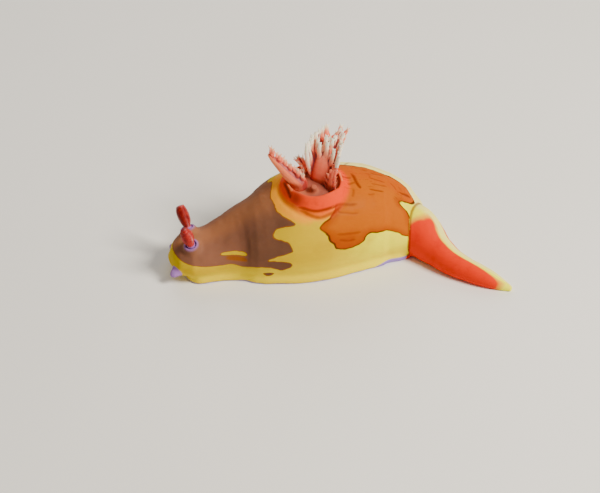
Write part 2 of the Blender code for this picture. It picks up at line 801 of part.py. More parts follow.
def gill_leaf(spine, facts, home, back, taken, draw):
    """A gill leaf: a stout stem, smooth outside, with pinnae at both edges and on its inner face."""
    name = facts[0]
    pairs, length, turn = facts[8:11]
    points, sideways = leaf_line(spine, facts)
    halves = rachis_halves(facts, len(points))
    stem = blade(name, points, sideways, halves, "gill_red", home)
    fingers = []
    for row in range(pairs):
        share = np.interp(row, (0, pairs - 1), (PINNA_FIRST, PINNA_LAST))
        at = 1 + share * (LEAF_POINTS - 1)
        i = min(int(at), len(points) - 2)
        place = points[i].lerp(points[i + 1], at - i)
        way = (points[i + 1] - points[i]).normalized()
        inward = way.cross(sideways).normalized()
        wide = np.interp(at, (i, i + 1), (halves[i][0], halves[i + 1][0]))
        belly = math.sin(math.pi * (0.30 + 0.54 * share))
        for side in (-1, 1):
            facing = math.radians(turn + draw.uniform(-8, 8))
            outwards = sideways * side * math.sin(facing) + inward * math.cos(facing)
            root = place + sideways * side * max(0.0, wide - PINNA_SINK * MM)
            reach = length * belly * draw.uniform(0.86, 1.08) * MM
            fingers += pinna(name, root, way, outwards, reach, taken, home)
        if row % 3 == 1:
            reach = 0.62 * length * belly * MM
            fingers += pinna(name, place, way, inward, reach, taken, home)
    boolean(stem, fingers, "UNION")
    return boolean(stem, [back()], "DIFFERENCE")


def papilla(spine, home, back):
    """The anus, a short cone inside the gill, set just clear of the back."""
    place, normal = back_at(spine, *PAPILLA_AT)
    profile = [
        (0, PAPILLA_RISE * 0.86),
        (PAPILLA_RADIUS * 0.30, PAPILLA_RISE * 0.90),
        (PAPILLA_RADIUS * 0.52, PAPILLA_RISE),
        (PAPILLA_RADIUS * 0.70, PAPILLA_RISE * 0.92),
        (PAPILLA_RADIUS * 0.80, PAPILLA_RISE * 0.55),
        (PAPILLA_RADIUS, -LEAF_SINK),
        (0, -LEAF_SINK),
    ]
    turn = normal.to_track_quat("Z", "Y").to_matrix().to_4x4()
    made = turned("anal_papilla", profile, 14, "gill_red", home)
    place_mesh(made, Matrix.Translation(place) @ turn)
    return boolean(made, [back()], "DIFFERENCE")


def build():
    clear_scene()
    home = bpy.data.collections.new("nembrotha_rutilans")
    bpy.context.scene.collection.children.link(home)
    trunk = Spine(TRUNK_STATIONS, HEAD_ROUNDING, HUMP_ROUNDING)
    tail_spine = Spine(TAIL_STATIONS)

    head(trunk, home)
    neck(trunk, home)
    trunk_length(
        "back_middle", trunk, MIDDLE_CUT + GAP / 2, REAR_CUT - GAP / 2, "skin_orange", home
    )
    trunk_length("back_rear", trunk, REAR_CUT + GAP / 2, end_of(trunk), "skin_orange", home)
    foot(trunk, home)
    tail(trunk, tail_spine, home)
    for side, word in ((-1, "left"), (1, "right")):
        frame = rhinophore_frame(trunk, side)
        rhinophore(f"rhinophore_{word}", frame, home)
        lobe = oral_tentacle(f"oral_tentacle_{word}", trunk, side, home)
        front = trunk_length(
            "head_grown", trunk, start_of(trunk), NECK_CUT, "skin_cream", home, grow=GAP
        )
        boolean(lobe, [front], "DIFFERENCE")

    def back():
        """The middle of the back grown by the gap, as a cutter for what stands on it."""
        return trunk_length(
            "back_grown", trunk, MIDDLE_CUT, REAR_CUT, "skin_cream", home, grow=GAP
        )

    boolean(collar(trunk, home), [back()], "DIFFERENCE")
    papilla(trunk, home, back)
    taken = []
    for facts in GILL_LEAVES:
        points, sideways = leaf_line(trunk, facts)
        halves = rachis_halves(facts, len(points))
        for start, end, (wide, thick) in zip(points, points[1:], halves):
            for side in (-1, 0, 1):
                shift = sideways * side * (wide - thick)
                taken.append((facts[0], start + shift, end + shift, thick))
    draw = np.random.default_rng(SEED)
    for facts in GILL_LEAVES:
        gill_leaf(trunk, facts, home, back, taken, draw)
    for thing in home.objects:
        shade(thing)


build()
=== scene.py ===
import math

import bpy
import numpy as np
from mathutils import Matrix, Vector, noise
from mathutils.bvhtree import BVHTree


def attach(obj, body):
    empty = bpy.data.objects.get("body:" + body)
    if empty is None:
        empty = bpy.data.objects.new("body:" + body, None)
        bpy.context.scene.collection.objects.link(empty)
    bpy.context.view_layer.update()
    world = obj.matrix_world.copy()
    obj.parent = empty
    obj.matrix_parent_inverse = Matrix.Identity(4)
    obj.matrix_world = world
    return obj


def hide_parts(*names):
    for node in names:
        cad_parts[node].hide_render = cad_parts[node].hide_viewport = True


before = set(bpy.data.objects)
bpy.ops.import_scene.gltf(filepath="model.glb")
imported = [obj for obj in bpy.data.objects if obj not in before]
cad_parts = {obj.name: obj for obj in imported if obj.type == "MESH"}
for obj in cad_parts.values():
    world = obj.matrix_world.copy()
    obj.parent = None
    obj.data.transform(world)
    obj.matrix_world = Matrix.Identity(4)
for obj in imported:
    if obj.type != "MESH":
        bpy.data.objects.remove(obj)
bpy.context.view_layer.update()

# The skin's shape. One soft wet sleeve lies over the head, the back, the foot, the tail and the
# fold round the gill, without a seam. The solids' lengths are merged, swelled until they touch,
# remeshed in one, drawn in again and smoothed.
MM = 0.001
FLESH = (
    "head", "back_front", "back_middle", "back_rear", "foot", "tail_root", "tail_middle",
    "tail_tip", "gill_collar", "anal_papilla", "oral_tentacle_left", "oral_tentacle_right",
)
SAME_PLACE = 0.001 * MM
SWELLING = 0.19 * MM
SKIN_MESH = 0.20 * MM
DRAWN_IN = 0.15 * MM


def only(*pieces):
    """Selects these pieces and nothing else, and makes the last one active."""
    bpy.ops.object.select_all(action="DESELECT")
    for piece in pieces:
        piece.select_set(True)
        bpy.context.view_layer.objects.active = piece


def added(name, data):
    """Puts a new object with this mesh, lamp or camera data into the scene."""
    piece = bpy.data.objects.new(name, data)
    bpy.context.scene.collection.objects.link(piece)
    return piece


def merged_copy(name, nodes):
    """One new piece from copies of the solids, with their loose triangles merged."""
    twins = []
    for node in nodes:
        twin = added(node + "_copy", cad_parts[node].data.copy())
        twin.matrix_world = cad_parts[node].matrix_world
        twins.append(twin)
    only(*twins)
    bpy.ops.object.join()
    piece = bpy.context.object
    piece.name = name
    piece.data.name = name
    bpy.ops.object.mode_set(mode="EDIT")
    bpy.ops.mesh.select_all(action="SELECT")
    bpy.ops.mesh.remove_doubles(threshold=SAME_PLACE)
    bpy.ops.object.mode_set(mode="OBJECT")
    return piece


def shaped(piece, kind, **settings):
    """Adds one modifier to the piece and applies it."""
    only(piece)
    modifier = piece.modifiers.new(kind.title(), kind)
    for name, value in settings.items():
        setattr(modifier, name, value)
    bpy.ops.object.modifier_apply(modifier=modifier.name)


def whole_only(piece):
    """Leaves only the largest connected surface of the piece."""
    only(piece)
    bpy.ops.object.mode_set(mode="EDIT")
    bpy.ops.mesh.select_all(action="SELECT")
    bpy.ops.mesh.separate(type="LOOSE")
    bpy.ops.object.mode_set(mode="OBJECT")
    parts = sorted(bpy.context.selected_objects, key=lambda part: len(part.data.vertices))
    for scrap in parts[:-1]:
        bpy.data.objects.remove(scrap)
    return parts[-1]


def corners_of(piece):
    """The places of the piece's corners, one row each."""
    numbers = np.empty(len(piece.data.vertices) * 3)
    piece.data.vertices.foreach_get("co", numbers)
    return numbers.reshape(-1, 3)


def move_corners(piece, corners):
    """Moves the piece's corners to these places."""
    piece.data.vertices.foreach_set("co", corners.ravel())
    piece.data.update()


def normals_of(piece):
    """The outward directions at the piece's corners."""
    numbers = np.empty(len(piece.data.vertices) * 3)
    piece.data.vertex_normals.foreach_get("vector", numbers)
    return numbers.reshape(-1, 3)


skin = merged_copy("skin", FLESH)
shaped(skin, "DISPLACE", strength=SWELLING, mid_level=0.0, direction="NORMAL")
shaped(skin, "REMESH", mode="VOXEL", voxel_size=SKIN_MESH)
skin = whole_only(skin)
shaped(skin, "SMOOTH", factor=0.5, iterations=6)
shaped(skin, "DISPLACE", strength=-DRAWN_IN, mid_level=0.0, direction="NORMAL")
shaped(skin, "SMOOTH", factor=0.5, iterations=4)

# Places on the body. Markings and folds follow the flesh, so each corner of the skin gets its
# place on it: millimetres along the middle of the trunk or the tail, and degrees round from the
# ridge, positive down the left flank. The stations are the solids' own: x, y, width and height.
TRUNK = (
    (-25.6, -5.8, 9.4, 6.5), (-22.2, -5.5, 9.8, 7.0), (-18.9, -4.8, 9.8, 7.4),
    (-15.8, -3.8, 11.0, 8.8), (-13.2, -3.1, 12.8, 10.5), (-10.0, -2.7, 15.4, 12.9),
    (-6.6, -1.9, 17.2, 15.0), (-1.4, -0.6, 18.3, 16.3), (3.8, 1.2, 17.8, 15.9),
    (8.9, 2.5, 16.6, 14.6), (12.4, 2.7, 14.9, 12.5), (15.2, 2.1, 12.7, 10.2),
    (18.7, 0.9, 11.2, 8.0),
)
TAIL = (
    (12.8, 2.4, 7.6, 6.6), (15.6, 2.0, 8.4, 8.0), (17.6, 0.4, 7.8, 8.1), (19.4, -1.7, 6.6, 6.9),
    (21.2, -3.8, 5.3, 5.3), (23.0, -5.7, 4.6, 4.3), (26.3, -8.0, 3.9, 3.5),
    (29.8, -9.8, 3.0, 2.5), (33.0, -11.3, 0.9, 0.9),
)
FOOT_TOP = 1.5
WIDEST_SHARE = 0.40
FINE_STEPS = 40
CORNERS_AT_ONCE = 2000
MM_PER_DEGREE = 0.15
LINE_ENDS = (7.0, 0.03, 0.6)
TAIL_BLEND = 0.06
TINY = 1e-9


def places_on(stations, corners):
    """Millimetres along the line through the stations, and degrees round from the ridge."""
    rows = np.array(stations)
    steps = np.concatenate([[0.0], np.cumsum(np.linalg.norm(np.diff(rows[:, :2], axis=0), axis=1))])
    slopes = np.gradient(rows, steps, axis=0)
    fine, along = [], []
    for i in range(len(rows) - 1):
        span = steps[i + 1] - steps[i]
        for t in np.linspace(0, 1, FINE_STEPS, endpoint=i == len(rows) - 2):
            fine.append(
                rows[i] * (2 * t**3 - 3 * t**2 + 1)
                + slopes[i] * span * (t**3 - 2 * t**2 + t)
                + rows[i + 1] * (3 * t**2 - 2 * t**3)
                + slopes[i + 1] * span * (t**3 - t**2)
            )
            along.append(steps[i] + span * t)
    fine, along = np.array(fine), np.array(along)
    heading = np.gradient(fine[:, :2], along, axis=0)
    heading /= np.linalg.norm(heading, axis=1, keepdims=True)
    spot = np.empty(len(corners), dtype=int)
    flat = corners[:, :2] / MM
    for start in range(0, len(flat), CORNERS_AT_ONCE):
        block = flat[start:start + CORNERS_AT_ONCE]
        gaps = ((block[:, None, :] - fine[None, :, :2]) ** 2).sum(axis=2)
        spot[start:start + CORNERS_AT_ONCE] = gaps.argmin(axis=1)
    offset = flat - fine[spot, :2]
    ahead = (offset * heading[spot]).sum(axis=1)
    right = offset[:, 1] * heading[spot, 0] - offset[:, 0] * heading[spot, 1]
    waist = FOOT_TOP + (fine[spot, 3] - FOOT_TOP) * WIDEST_SHARE
    return along[spot] + ahead, np.degrees(np.arctan2(-right, corners[:, 2] / MM - waist))


def tree_of(*nodes):
    """A search tree over the triangles of these solids."""
    points, triangles = [], []
    for node in nodes:
        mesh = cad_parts[node].data
        mesh.calc_loop_triangles()
        start = len(points)
        points += [corner.co.copy() for corner in mesh.vertices]
        triangles += [[start + i for i in face.vertices] for face in mesh.loop_triangles]
    return BVHTree.FromPolygons(points, triangles)


def distance_to(nodes, corners):
    """Millimetres from each corner to the nearest of these solids."""
    tree = tree_of(*nodes)
    return np.array([tree.find_nearest(Vector(corner))[3] / MM for corner in corners])


def share_and_gap(spots, start, end):
    """The share of the way from start to end that is nearest to each spot, and how far it is."""
    run = end - start
    share = np.clip(((spots - start) @ run) / max(run @ run, TINY), 0, 1)
    return share, np.linalg.norm(spots - start - share[:, None] * run, axis=1)


def along_line(line, spots):
    """Distance in millimetres to a line of (along, degrees) points, and how full it is there."""
    points = smoothed(line, closed=False) * (1, MM_PER_DEGREE)
    nearest = np.full(len(spots), np.inf)
    passed = np.zeros(len(spots))
    for i, (start, end) in enumerate(zip(points, points[1:])):
        share, gap = share_and_gap(spots, start, end)
        passed = np.where(gap < nearest, i + share, passed)
        nearest = np.minimum(nearest, gap)
    passed /= len(points) - 1
    steep, least, power = LINE_ENDS
    return nearest, np.clip(steep * passed * (1 - passed), least, 1) ** power


def inside(outline, spots):
    """Millimetres that each corner lies inside a closed outline, negative outside it."""
    points = smoothed(outline, closed=True) * (1, MM_PER_DEGREE)
    nearest = np.full(len(spots), np.inf)
    within = np.zeros(len(spots), dtype=bool)
    for start, end in zip(points, np.roll(points, -1, axis=0)):
        _, gap = share_and_gap(spots, start, end)
        nearest = np.minimum(nearest, gap)
        crosses = (start[1] > spots[:, 1]) != (end[1] > spots[:, 1])
        rise = end[1] - start[1] if end[1] != start[1] else TINY
        reached = start[0] + (spots[:, 1] - start[1]) / rise * (end[0] - start[0])
        within ^= crosses & (spots[:, 0] < reached)
    return np.where(within, nearest, -nearest)


def smoothed(points, closed):
    """The points with three more between each two, on a curve through them all."""
    points = np.array(points, dtype=float)
    around = np.pad(points, ((1, 2), (0, 0)), mode="wrap" if closed else "edge")
    made = []
    for i in range(len(points) if closed else len(points) - 1):
        a, b, c, d = around[i:i + 4]
        for t in (0.0, 0.25, 0.5, 0.75):
            made.append(
                0.5 * (2 * b + (c - a) * t + (2 * a - 5 * b + 4 * c - d) * t**2
                       + (3 * b - a - 3 * c + d) * t**3)
            )
    if not closed:
        made.append(points[-1])
    return np.array(made)


corners = corners_of(skin)
along, turn = places_on(TRUNK, corners)
tail_along, tail_turn = places_on(TAIL, corners)
trunk_spots = np.stack([along, turn * MM_PER_DEGREE], axis=1)
tail_spots = np.stack([tail_along, tail_turn * MM_PER_DEGREE], axis=1)
to_trunk = distance_to(("head", "back_front", "back_middle", "back_rear"), corners)
to_tail = distance_to(("tail_root", "tail_middle", "tail_tip"), corners)
to_collar = distance_to(("gill_collar",), corners)
to_lobes = distance_to(("oral_tentacle_left", "oral_tentacle_right"), corners)
on_tail = 1 / (1 + np.exp(-(to_trunk - to_tail) / TAIL_BLEND))

# Folds of the skin. The soft skin creases where the body contracts: wrinkles over the hump, a
# forked one behind the gill, one round the gill's fold and one at the tail. Each is pressed into
# the mesh as a shallow groove, as is the line of the mouth between its raised lips, and the
# finish darkens them all with painted shade.
CREASES = (
    # how deep and how dark with painted shade, half width in millimetres, then the line of (along,
    # degrees)
    (1.0, 0.20, ((20.0, 0), (20.2, 14), (20.3, 21), (20.4, 26))),
    (1.0, 0.24, ((21.2, 37), (22.0, 40), (23.1, 44), (24.1, 46), (25.3, 46), (26.7, 45),
                 (27.8, 44))),
    (0.65, 0.26, ((26.0, 45.5), (27.6, 44), (28.8, 44), (30.0, 45), (31.4, 45))),
    (0.45, 0.16, ((27.0, 50), (27.7, 52), (29.2, 54), (30.4, 55), (31.3, 55))),
    (0.75, 0.26, ((21.4, 41), (22.0, 43), (22.7, 47), (23.6, 51), (24.5, 53), (25.5, 52),
                  (26.6, 50), (27.6, 47), (28.5, 45))),
    (0.9, 0.26, ((29.1, 5), (29.1, 15), (28.7, 21), (27.8, 29))),
    (0.7, 0.24, ((29.7, 13), (30.9, 10), (31.7, 11))),
    (1.0, 0.32, ((32.0, 1), (32.3, 10), (32.3, 17), (32.6, 24), (33.0, 26))),
    (0.6, 0.22, ((30.5, 21), (31.4, 19), (32.2, 18))),
    (0.5, 0.22, ((31.4, 26), (31.1, 32), (30.7, 37))),
    (0.7, 0.18, ((35.0, 8), (35.9, 8), (37.1, 7), (38.2, 5))),
    (0.8, 0.18, ((34.4, 27), (35.8, 27), (36.8, 26), (37.8, 24))),
    (0.4, 0.16, ((33.9, 34), (34.8, 34), (35.9, 32))),
    (0.6, 0.18, ((35.6, -5), (36.4, -4), (37.3, -7), (38.1, -10))),
    (0.9, 0.24, ((40.7, 2), (41.3, 2), (42.0, -7), (42.5, -16))),
    (0.5, 0.18, ((35.2, 18), (36.2, 17), (37.5, 15), (38.6, 11))),
    (0.5, 0.20, ((39.0, -1), (39.8, 1), (40.3, 6))),
    (0.5, 0.20, ((26.3, 74), (27.6, 76), (29.9, 77), (31.4, 77))),
    (0.6, 0.20, ((26.6, 81), (28.3, 85), (30.3, 85))),
    (0.7, 0.22, ((31.6, -16), (32.4, -24), (33.2, -31))),
    (0.5, 0.18, ((34.2, -22), (36.4, -27), (39.0, -28))),
    (0.6, 0.20, ((26.4, -47), (29.0, -52), (31.8, -51))),
)
CREASE_DEPTH = 0.10
CREASE_WIDTH = 0.26
NO_CREASE = 2.0
WRINKLES_ALONG = (28.6, 30.4, 41.6, 43.2)
WRINKLES_ROUND = (-24, -12, 22, 36)
WRINKLE_HALF = 0.075
WRINKLE_DEPTH = 0.05
# two small raised folds on the gill's fold, with a painted highlight along their crests
PALE_FOLDS = (
    (0.30, ((20.55, 8), (20.75, 15), (20.85, 21))),
    (0.28, ((29.5, 4), (29.6, 12), (29.4, 20))),
)
MOUTH = (-25.2, -5.8, 2.8)
MOUTH_ASIDE = (-0.088, 0.996, 0.0)
MOUTH_UP = (-0.666, -0.059, 0.743)
MOUTH_HALF = 0.75
LIPS_HALF = (1.35, 0.80)
LIP_RELIEF = 0.16
LIP_RING, LIP_WIDTH = 0.75, 0.42
MOUTH_REACH = 3.0
MOUTH_BEND = -0.10
MOUTH_WIDTH, MOUTH_DARK_WIDTH = 0.24, 0.16
MOUTH_DARK = 0.85
LENGTH_JOINTS = (7.4, 17.6, 33.6)
TAIL_JOINTS = (10.4, 17.0)
COLLAR_CENTRE = (-0.8, -1.9)
COLLAR_HALF = (5.05, 5.0)
COLLAR_GROOVES = ((0.66, 0.07, 0.24), (1.20, 0.08, 0.26))
COLLAR_FROM_HEIGHT = 9.0
JOINT_REACH = 1.6
FOOT_SEAM_REACH = 1.3
MUZZLE_REACH, MUZZLE_FROM_LOBES = 2.2, 0.3
SOFTER_SHARE = 0.7
JOINT_ROUNDS = 40
JUNCTION_WIDTH = 0.45
RIPPLES_PER_METRE = 700
RIPPLE_DEPTH = 0.05
BUCKLE_DEPTH = 0.07
BUCKLES_FROM = 26
FLAT_SOLE = 2.0


def close_to(gap, width):
    """1 where the gap is nothing, falling softly to about 0 beyond twice this width."""
    return np.exp(-((gap / width) ** 2))


on_trunk = on_tail < 0.5
near_joint = np.zeros(len(corners))
for steps, share, places in (along, on_trunk, LENGTH_JOINTS), (tail_along, on_tail, TAIL_JOINTS):
    for joint in places:
        near = np.clip(JOINT_REACH - np.abs(steps - joint), 0, 1)
        near_joint = np.maximum(near_joint, near * share)
near = np.clip(FOOT_SEAM_REACH - np.abs(corners[:, 2] / MM - FOOT_TOP), 0, 1)
near_joint = np.maximum(near_joint, SOFTER_SHARE * near)
muzzle = np.clip(MUZZLE_REACH - along, 0, 1) * np.clip(to_lobes - MUZZLE_FROM_LOBES, 0, 1)
near_joint = np.maximum(near_joint, SOFTER_SHARE * muzzle * on_trunk)
joints = skin.vertex_groups.new(name="joints")
for i, weight in enumerate(near_joint):
    if weight > 0:
        joints.add([i], float(weight), "REPLACE")
shaped(skin, "SMOOTH", factor=0.5, iterations=JOINT_ROUNDS, vertex_group="joints")
skin.vertex_groups.clear()
corners = corners_of(skin)

reach = corners[:, :2] / MM - COLLAR_CENTRE
bearing = np.arctan2(reach[:, 1] / COLLAR_HALF[1], reach[:, 0] / COLLAR_HALF[0])
ring = np.stack([COLLAR_HALF[0] * np.cos(bearing), COLLAR_HALF[1] * np.sin(bearing)], axis=1)
collar_out = np.linalg.norm(reach, axis=1) - np.linalg.norm(ring, axis=1)
above = corners[:, 2] / MM > COLLAR_FROM_HEIGHT
press = np.zeros(len(corners))
crease_gap = np.full(len(corners), NO_CREASE)
crease_dark = np.zeros(len(corners))
for dark, half_width, line in CREASES:
    gap, full = along_line(line, trunk_spots)
    press += CREASE_DEPTH * dark * full * close_to(gap, CREASE_WIDTH)
    gap /= half_width * full
    nearer = gap < crease_gap
    crease_gap[nearer] = gap[nearer]
    crease_dark[nearer] = (dark * full)[nearer]
pale_fold = np.zeros(len(corners))
for half_width, line in PALE_FOLDS:
    gap, full = along_line(line, trunk_spots)
    near = full * close_to(gap, half_width)
    pale_fold = np.maximum(pale_fold, near)
    press -= CREASE_DEPTH * near
for out, depth, half_width in COLLAR_GROOVES:
    facing = np.clip(0.75 - 0.6 * np.sin(bearing), 0, 1)
    near = close_to(collar_out - out, half_width) * above * facing
    press += depth * near
offset = corners / MM - MOUTH
mouth_aside, mouth_up = offset @ MOUTH_ASIDE, offset @ MOUTH_UP
front = np.clip(MOUTH_REACH - np.linalg.norm(offset, axis=1), 0, 1)
past_end = np.maximum(np.abs(mouth_aside) - MOUTH_HALF, 0)
mouth_gap = np.hypot(past_end, mouth_up - MOUTH_BEND * (mouth_aside / MOUTH_HALF) ** 2)
lip = np.hypot(mouth_aside / LIPS_HALF[0], mouth_up / LIPS_HALF[1]) - LIP_RING
press -= LIP_RELIEF * front * close_to(lip, LIP_WIDTH)
press += LIP_RELIEF * front * close_to(mouth_gap, MOUTH_WIDTH)
# the mouth's slit gets the same painted shade as a crease
in_mouth = (front > 0) & (mouth_gap / MOUTH_DARK_WIDTH < crease_gap)
crease_gap[in_mouth] = mouth_gap[in_mouth] / MOUTH_DARK_WIDTH
crease_dark[in_mouth] = MOUTH_DARK
junction = close_to(to_trunk - to_tail, JUNCTION_WIDTH)
junction *= (to_tail < 1.0) & (to_trunk < 1.0)


def uneven(per_mm, per_degree, layer):
    """Soft noise on the skin, as fine as this along the body and round it."""
    return np.array([
        noise.noise(Vector((s * per_mm, a * per_degree, layer))) for s, a in zip(along, turn)
    ])


ripple = np.array([noise.noise(Vector(corner) * RIPPLES_PER_METRE) for corner in corners])
buckle = uneven(per_mm=0.45, per_degree=0.16, layer=3.0)
grain = uneven(per_mm=0.17, per_degree=0.26, layer=7.0)
wavering = uneven(per_mm=0.5, per_degree=0.1, layer=1.0)
wrinkled = np.interp(along, WRINKLES_ALONG, (0, 1, 1, 0)) * on_trunk
wrinkled *= np.interp(turn, WRINKLES_ROUND, (0, 1, 1, 0)) * np.clip(0.75 + 1.8 * wavering, 0, 1)
wrinkled *= np.clip(1 - np.abs(grain) / WRINKLE_HALF, 0, 1)
press += WRINKLE_DEPTH * wrinkled
high = np.clip(corners[:, 2] / MM - FLAT_SOLE, 0, 1)
buckled = np.abs(buckle) * (along > BUCKLES_FROM) * on_trunk
press += high * (RIPPLE_DEPTH * np.abs(ripple) + BUCKLE_DEPTH * buckled)
corners = corners - normals_of(skin) * (press * high)[:, None] * MM
corners[:, 2] = np.maximum(corners[:, 2], 0.0)
move_corners(skin, corners)
shaped(skin, "SMOOTH", factor=0.35, iterations=1)
skin.data.shade_smooth()

# Markings on the skin. It is cream, with a brown patch over the head that runs out in fingers
# down the flanks, an orange patch over the hump, an orange-red tail, a red fold round the gill
# and a violet line round the foot. The outlines are points of (along, degrees) on the body.
BROWN_PATCH = (
    (18.8, -20), (17.8, 3), (17.8, 18), (18.0, 32), (19.0, 43), (19.8, 48), (20.6, 54),
    (20.2, 56), (18.6, 54), (17.4, 54), (16.9, 60), (17.3, 65), (18.4, 70), (19.2, 74),
    (19.7, 82), (19.7, 86), (18.4, 88), (17.4, 89), (16.4, 91.5), (16.2, 93), (17.3, 96),
    (19.0, 100), (19.7, 105), (19.1, 110), (17.7, 113), (16.3, 106), (14.8, 104), (11.9, 103),
    (10.9, 100), (9.2, 92), (7.2, 90), (4.6, 84), (2.4, 74), (0.9, 50), (0.5, 0), (0.9, -50),
    (2.4, -74), (4.6, -84), (7.4, -88), (9.6, -94), (12.2, -100), (15.0, -102), (18.0, -103),
    (19.6, -98), (18.2, -92), (16.8, -87), (18.2, -80), (20.2, -74), (20.6, -68), (18.4, -62),
    (17.2, -56), (18.4, -49), (19.6, -43), (18.6, -34), (18.2, -27),
)
CREAM_STREAK = ((8.0, 65), (9.4, 66), (10.8, 70), (12.3, 77), (12.0, 80), (10.4, 75), (8.0, 69))
RUST_SPOT = ((8.6, 73), (10.2, 76), (12.0, 84), (12.2, 92), (10.0, 86), (8.6, 80))
SMALL_MARK = ((15.6, 117), (16.2, 115), (16.8, 118), (16.5, 122), (15.9, 122))
ORANGE_PATCH = (
    (24.2, 63), (25.0, 58), (25.9, 54), (26.8, 46), (27.6, 30), (28.2, 10), (29.2, -10),
    (30.5, -19), (32.7, -17), (35.0, -14), (37.5, -15), (39.7, -21), (41.2, -23), (43.0, -21),
    (43.2, -12), (42.9, 2), (42.2, 12), (41.3, 24), (41.9, 28), (42.7, 29), (43.2, 34), (43.6, 42),
    (44.1, 52), (44.8, 63), (46.2, 75), (46.5, 84), (43.4, 80), (42.2, 75), (40.2, 74), (38.0, 77),
    (35.6, 80), (33.4, 80), (32.3, 83), (31.8, 89), (30.6, 93.5), (29.0, 95.5), (27.4, 95),
    (26.2, 91), (25.9, 85), (25.3, 80), (25.2, 74), (24.6, 68),
)
RIGHT_PATCH = (
    (24.4, -52), (26.8, -46), (30.2, -44), (33.4, -48), (35.2, -56), (33.6, -64), (34.4, -74),
    (31.8, -82), (28.8, -78), (27.4, -70), (25.6, -66), (24.2, -60),
)
RED_TAIL = (
    (5.4, 150), (5.0, 100), (5.2, 60), (6.2, 26), (6.8, 6), (7.1, -12), (8.3, -13), (9.5, -3),
    (11.3, 4), (15.3, 4), (17.2, 4), (19.1, 13), (21.1, 40), (22.6, 80), (22.9, 120),
    (21.0, 165), (12.0, 170),
)
RIGHT_TAIL = (
    (8.6, -52), (10.6, -46), (13.4, -50), (16.8, -58), (19.6, -72), (20.4, -90), (17.6, -98),
    (14.2, -92), (11.6, -96), (9.2, -88), (8.0, -70),
)
YELLOW_FRONT = 3.3
YELLOW_SIDE = 1.75
COLLAR_EDGE = 1.30
COLLAR_REACH = 1.2
UNDER_COLLAR = 1.6
HOLLOW_EDGE = -0.35
SHADED_LIP = (21.2, 30)
SHADED_LIP_HALF = (1.1, 1.3)
PAPILLA_REACH = 0.6
SHEATH_REACH = 1.15
HEAD_LENGTH = 7
OUTSIDE = -2.0
FAR_OUTSIDE = -3.0


def paint(piece, **rows):
    """Stores rows of numbers, one for each corner, for the material to read by their names."""
    for name, numbers in rows.items():
        layer = piece.data.attributes.new(name, "FLOAT", "POINT")
        layer.data.foreach_set("value", np.ascontiguousarray(numbers, dtype=np.float32))


def depth(numbers, where=True):
    """Millimetres inside a marking, from far outside to as far inside."""
    return np.clip(np.where(where, numbers, FAR_OUTSIDE), FAR_OUTSIDE, -FAR_OUTSIDE)


corners = corners_of(skin)
brown = inside(BROWN_PATCH, trunk_spots)
brown = np.minimum(brown, -inside(CREAM_STREAK, trunk_spots))
brown = np.maximum(brown, inside(SMALL_MARK, trunk_spots))
brown = np.where(on_tail > 0.5, OUTSIDE, brown)
orange = np.maximum(inside(ORANGE_PATCH, trunk_spots), inside(RIGHT_PATCH, trunk_spots))
under_collar = (collar_out < UNDER_COLLAR) & above
orange = np.where(under_collar, np.maximum(orange, OUTSIDE), orange)
orange = np.where(on_tail > 0.5, OUTSIDE, orange)
red = np.maximum(inside(RED_TAIL, tail_spots), inside(RIGHT_TAIL, tail_spots))
red = np.where(on_tail > 0.3, red, OUTSIDE)
ahead = np.clip(-np.cos(bearing), 0, 1) ** 0.7
yellow = YELLOW_SIDE + (YELLOW_FRONT - YELLOW_SIDE) * ahead - collar_out
in_collar = above & (to_collar < COLLAR_REACH)
to_papilla = distance_to(("anal_papilla",), corners)
own_turn = np.where(on_tail > 0.5, tail_turn, turn)
shade_ahead = (along - SHADED_LIP[0]) / SHADED_LIP_HALF[0]
shade_round = (turn - SHADED_LIP[1]) * MM_PER_DEGREE / SHADED_LIP_HALF[1]
to_stalks = distance_to(("rhinophore_left", "rhinophore_right"), corners)
paint(
    skin, brown=depth(brown), orange=depth(orange), red=depth(red),
    rust=depth(inside(RUST_SPOT, trunk_spots)), yellow=depth(yellow, above),
    hollow=depth(HOLLOW_EDGE - collar_out, above),
    collar=np.where(in_collar, COLLAR_EDGE - collar_out, FAR_OUTSIDE),
    papilla=np.clip(PAPILLA_REACH - to_papilla, 0, 1) * 2,
    junction=junction, crease_gap=crease_gap, crease_dark=crease_dark, pale_fold=pale_fold,
    wrinkled=wrinkled, along=along, turn=own_turn, round=np.abs(own_turn), tail=on_tail,
    height=corners[:, 2] / MM, lobe=to_lobes,
    collar_shade=np.exp(-(shade_ahead**2 + shade_round**2)) * above,
    sheath=np.clip(SHEATH_REACH - to_stalks, 0, 1) * (along < HEAD_LENGTH),
)


# Finish of the skin. Wet living skin is soft and slightly see-through, so light spreads under it,
# with a thin film of water over it. The patches have sharp, ragged edges and fine mottling, and
# the material is painted in layers from the cream ground up.
class Value:
    """A number, colour or direction in a material; sums on numbers add the nodes they need."""

    def __init__(self, tree, socket):
        self.tree = tree
        self.socket = socket

    def worked(self, operation, *terms):
        """The result of one Math node on these terms."""
        node = self.tree.nodes.new("ShaderNodeMath")
        node.operation = operation
        for slot, term in zip(node.inputs, terms):
            join(self.tree, slot, term)
        return Value(self.tree, node.outputs[0])

    def __add__(self, other):
        return self.worked("ADD", self, other)

    def __sub__(self, other):
        return self.worked("SUBTRACT", self, other)

    def __rsub__(self, other):
        return self.worked("SUBTRACT", other, self)

    def __mul__(self, other):
        return self.worked("MULTIPLY", self, other)

    __radd__ = __add__
    __rmul__ = __mul__


def join(tree, slot, term):
    """Links a value to a socket, or sets a plain number or colour on it."""
    if isinstance(term, Value):
        tree.links.new(term.socket, slot)
    else:
        slot.default_value = term


